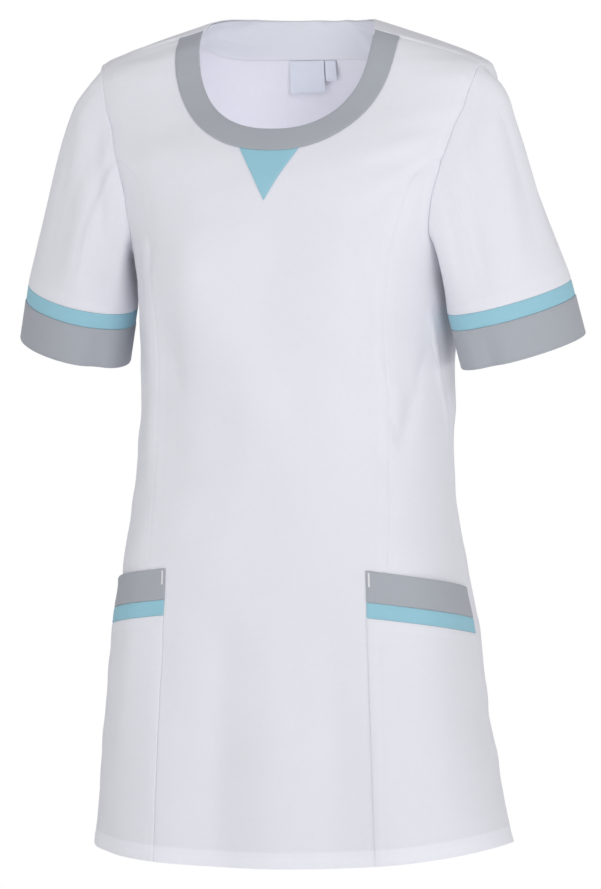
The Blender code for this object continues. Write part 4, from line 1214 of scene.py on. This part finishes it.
# Creases of the sleeves: degrees round the sleeve and share of the way down.
SLEEVE_CREASES = {
    "left": (
        Crease(70.0, 0.10, 88.0, 0.70, 0.0070, -0.0018),
        Crease(105.0, 0.15, 112.0, 0.75, 0.0060, -0.0014),
        Crease(40.0, 0.20, 52.0, 0.80, 0.0080, 0.0012),
        Crease(200.0, 0.20, 230.0, 0.70, 0.0080, -0.0014),
        Crease(310.0, 0.15, 290.0, 0.70, 0.0080, -0.0014),
    ),
    "right": (
        Crease(58.0, 0.06, 112.0, 0.50, 0.0110, -0.0030),
        Crease(36.0, 0.12, 72.0, 0.50, 0.0110, 0.0014),
        Crease(205.0, 0.20, 235.0, 0.70, 0.0080, -0.0014),
        Crease(305.0, 0.15, 285.0, 0.70, 0.0080, -0.0014),
    ),
}


def cuff_ring(turns, distance, dents=()):
    """Ring of the left sleeve at a distance above its hem, with dents that deepen to the hem."""
    down = np.array([CUFF_RISE_OUT, CUFF_RISE_BACK, -1.0])
    down /= np.linalg.norm(down)
    own = -CUFF_TURN - turns
    free = 1 - distance / (CUFF_WIDTH + STRIPE_WIDTH)
    size = 1.0
    for dent in dents:
        near = turn_between(turns, radians(dent.angle)) / radians(dent.half_angle)
        size = size - free * dent.share * np.exp(-(near**2))
    broad = CUFF_BROAD * size * np.cos(own)
    narrow = CUFF_NARROW * size * np.sin(own)
    out = broad * cos(CUFF_TURN) - narrow * sin(CUFF_TURN)
    behind = broad * sin(CUFF_TURN) + narrow * cos(CUFF_TURN)
    rise = CUFF_RISE_OUT * out + CUFF_RISE_BACK * behind
    return np.array(CUFF_CENTRE) - down * distance + np.stack([out, behind, rise], -1), down


def armhole_ring(turns):
    """Armhole as a ring, with the direction in which the sleeve's cloth leaves it."""
    places = armhole((turns + pi) % (2 * pi) - pi)
    points = body(places[:, 0], places[:, 1])
    normals = normal_of(body, places[:, 0], places[:, 1])
    into = unit(np.cross(np.roll(points, -1, axis=0) - np.roll(points, 1, axis=0), normals))
    into *= np.sign(np.sum(into * (points.mean(axis=0) - points), axis=1, keepdims=True))
    fold = (CAP_FOLD + PIT_FOLD) / 2 + (CAP_FOLD - PIT_FOLD) / 2 * np.cos(turns)
    leave = np.cos(fold)[:, None] * into + np.sin(fold)[:, None] * normals
    leave = unit(leave + UNDERARM_DROP * cuff_ring(turns, 0.0)[1] * np.sin(turns / 2)[:, None] ** 2)
    bend = np.arccos(np.clip(np.sum(leave * into, axis=1), -1, 1))
    clear = SEAM_GAP * (1 + PIT_CLEARANCE * np.sin(turns / 2) ** 4) + WALL / 2 * np.tan(bend / 2)
    return points + leave * clear[:, None], leave


def tube_normals(points):
    """Outward normals of a ring-by-ring tube."""
    round_it = np.roll(points, -1, axis=1) - np.roll(points, 1, axis=1)
    normals = unit(np.cross(round_it, np.gradient(points, axis=0)))
    return normals * np.sign(np.sum(normals * (points - points.mean(axis=1, keepdims=True))))


def sleeve_points(hand, turns, downs):
    """Middle surface of the white part of a sleeve, with folds and creases, on the wearer's left."""
    top, leave = armhole_ring(turns)
    bottom, down = cuff_ring(turns, CUFF_WIDTH + STRIPE_WIDTH + SEAM_GAP)
    pull = SLEEVE_PULL * np.linalg.norm(bottom - top, axis=1)[:, None]
    points = eased(downs[:, None, None], top, pull * leave, bottom, pull * down)
    turn, along = np.meshgrid(turns, downs)
    depth = crease_depth(SLEEVE_CREASES[hand], turn, along, SLEEVE_RADIUS, SLEEVE_LENGTH)
    for fold in SLEEVE_FOLDS[hand]:
        across = turn_between(turn, radians(fold.angle)) / radians(fold.half_angle)
        depth = depth + fold.depth * np.exp(-(across**2) - ((along - fold.down) / fold.half_down) ** 2)
    held = np.clip(np.minimum(4 * along, 4 * (1 - along)), 0, 1)
    return points + tube_normals(points) * (depth * held)[..., None]


def sew_tube(name, hand, points, finishes, proud=0.0, rows_of_stitches=()):
    """A ring-by-ring tube with a wall and rounded ends, mirrored for the wearer's right."""
    normals = tube_normals(points)
    middle = points + normals * proud
    level = middle.copy()
    for end, next_one in ((0, 1), (-1, -2)):
        level[end] += unit(middle[next_one] - middle[end]) * SOFT_EDGE
    thin = normals * (WALL / 2 - EDGE_DROP)
    rings = np.concatenate([
        (middle[:1] + thin[:1]), level + normals * WALL / 2, (middle[-1:] + thin[-1:]),
        (middle[-1:] - thin[-1:]), (level - normals * WALL / 2)[::-1], (middle[:1] - thin[:1]),
    ])
    count, total = points.shape[1], len(rings)
    number = np.arange(total * count).reshape(total, count)
    after, beyond = np.roll(number, -1, axis=1), np.roll(number, -1, axis=0)
    faces = np.stack([number, beyond, np.roll(beyond, -1, axis=1), after], -1).reshape(-1, 4)
    vertices = rings.reshape(-1, 3)
    first = faces[len(faces) // 4]
    across = np.cross(vertices[first[1]] - vertices[first[0]], vertices[first[3]] - vertices[first[0]])
    row = (len(faces) // 4) // count
    if across @ (vertices[first[0]] - rings[row].mean(axis=0)) < 0:
        faces = faces[:, ::-1]
    round_it = np.linalg.norm(np.roll(rings[1], -1, axis=0) - rings[1], axis=1)
    girth = round_it.sum()
    travel = np.concatenate([[0.0], np.cumsum(round_it)[:-1]])
    down = np.concatenate([[0.0], np.cumsum(np.linalg.norm(np.diff(middle, axis=0), axis=2).mean(axis=1))])
    along = np.concatenate([down[:1], down, down[-1:], down[-1:], down[::-1], down[:1]])
    uv = np.stack([np.tile(travel, total), np.repeat(along, count)], -1)
    edge = np.minimum(uv[:, 1], down[-1] - uv[:, 1])
    stitches = []
    for ring, ring_normals, lift in rows_of_stitches:
        loop = np.vstack([ring, ring[:1]])
        loop_normals = np.vstack([ring_normals, ring_normals[:1]])
        stitches.append(thread_stitches(loop + loop_normals * lift, loop_normals))
    vertices, faces, face_finish, uv, edge = with_stitches(vertices, faces.tolist(), uv, edge, stitches)
    if hand == "right":
        vertices = vertices * (-1, 1, 1)
        faces = [face[::-1] for face in faces]
    return show(f"{name}_{hand}", vertices, faces, face_finish, uv, edge, finishes, girth)


turns = np.linspace(0, 2 * pi, SLEEVE_TURNS + 1)[:-1]
for hand in ("left", "right"):
    white_points = sleeve_points(hand, turns, np.linspace(0, 1, SLEEVE_ROWS + 1))
    sleeve = sew_tube("sleeve", hand, white_points, [white_twill, white_thread])
    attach(sleeve, "root")
    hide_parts(f"sleeve_{hand}")


# Sleeve stripes and cuffs. A light blue stripe let in below the white cloth, and a grey band
# of double cloth that ends the sleeve, stitched beside its seam with the stripe and above the hem.
CUFF_ROWS = 8
CUFF_STITCH = 0.0018

# Soft dents in the ends of the sleeves: degrees round the sleeve and share of its radius.
CuffDent = namedtuple("CuffDent", "angle half_angle share")
CUFF_DENTS = {
    "left": (CuffDent(103.0, 12.0, 0.085), CuffDent(250.0, 14.0, 0.050)),
    "right": (CuffDent(124.0, 13.0, 0.080), CuffDent(262.0, 14.0, 0.050)),
}
for hand in ("left", "right"):
    stripe_rings, cuff_rings, (top_row, hem_row) = (
        np.array([cuff_ring(turns, step, CUFF_DENTS[hand])[0] for step in steps])
        for steps in (
            np.linspace(CUFF_WIDTH + STRIPE_WIDTH, CUFF_WIDTH, 5),
            np.linspace(CUFF_WIDTH - SEAM_GAP, 0, CUFF_ROWS),
            (CUFF_WIDTH - CUFF_STITCH, CUFF_STITCH),
        )
    )
    out = tube_normals(cuff_rings)
    rows = [(top_row, out[0], CUFF_PROUD + WALL / 2), (hem_row, out[-1], CUFF_PROUD + WALL / 2)]
    for name, rings, finishes, proud, sewing, slot_name, flat_size, area in (
        ("sleeve_stripe", stripe_rings, [blue_twill, blue_thread], 0.0, [],
         "blue_cloth", (0.342, 0.0165), 0.0056),
        ("cuff", cuff_rings, [grey_twill, grey_thread], CUFF_PROUD, rows,
         "grey_cloth", (0.345, 0.0405), 0.0139),
    ):
        piece = sew_tube(name, hand, rings, finishes, proud, sewing)
        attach(piece, "root")
        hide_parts(f"{name}_{hand}")


# Studio. A pale floor below the tunic, which hangs as if worn, in a white room that is dimmer
# above and below, with large soft lights in front, above and behind.
FLOOR_HEIGHT = -1.36
FLOOR_HALF = 4.5
FLOOR_COLOUR = (0.92, 0.92, 0.93)
# The room's brightness at each rise from straight down (0) over level (0.5) to straight up (1).
ROOM = ((0.0, 0.45), (0.30, 0.50), (0.36, 1.0), (0.57, 1.0), (0.64, 0.45), (1.0, 0.45))

Lamp = namedtuple("Lamp", "name place size power")
LAMPS = (
    Lamp("key", (1.9, -2.4, 0.7), 1.2, 22.0),
    Lamp("fill", (-1.5, -2.6, 0.3), 1.2, 8.4),
    Lamp("front", (0.7, -3.2, -0.3), 1.2, 6.2),
    Lamp("side", (3.0, -1.2, -0.9), 1.2, 7.0),
    Lamp("rear", (-0.8, 3.0, 0.8), 1.6, 16.0),
)
LAMPS_AIM = Vector((0.0, 0.0, -0.40))
# A small round lamp inside the chest lifts the shade in the neck. Its size is a radius.
INSIDE_LAMP = Lamp("inside", (-0.09, -0.02, -0.22), 0.03, 0.33)

floor_corners = [
    (x * FLOOR_HALF, y * FLOOR_HALF, FLOOR_HEIGHT) for x, y in ((-1, -1), (1, -1), (1, 1), (-1, 1))
]
floor_mesh = bpy.data.meshes.new("floor")
floor_mesh.from_pydata(floor_corners, [], [(0, 1, 2, 3)])
floor = place_object("floor", floor_mesh)
paint, _, _ = new_finish("floor_paint", {"Base Color": (*FLOOR_COLOUR, 1.0), "Roughness": 0.9})
floor_mesh.materials.append(paint)

world = bpy.data.worlds.new("studio")
bpy.context.scene.world = world
world.use_nodes = True
sky = world.node_tree
way = add_node(sky, "TexCoord").outputs["Generated"]
rise = add_node(sky, "SeparateXYZ", {0: way}).outputs[2]
share = add_node(sky, "MapRange", {"Value": rise, "From Min": -1.0}).outputs[0]
shade = add_node(sky, "ValToRGB", {0: share})
while len(shade.color_ramp.elements) < len(ROOM):
    shade.color_ramp.elements.new(0.5)
for element, (place, bright) in zip(shade.color_ramp.elements, ROOM):
    element.position = place
    element.color = (bright, bright, bright, 1.0)
set_inputs(sky, sky.nodes["Background"], {"Color": shade.outputs[0]})
bpy.context.scene.view_settings.view_transform = "Standard"

for lamp in LAMPS:
    light = bpy.data.lights.new(lamp.name, "AREA")
    light.shape = "SQUARE"
    light.size = lamp.size
    light.energy = lamp.power
    holder = place_object(lamp.name, light)
    holder.location = lamp.place
    holder.rotation_euler = (LAMPS_AIM - Vector(lamp.place)).to_track_quat("-Z", "Y").to_euler()
inside_light = bpy.data.lights.new(INSIDE_LAMP.name, "POINT")
inside_light.shadow_soft_size = INSIDE_LAMP.size
inside_light.energy = INSIDE_LAMP.power
place_object(INSIDE_LAMP.name, inside_light).location = INSIDE_LAMP.place
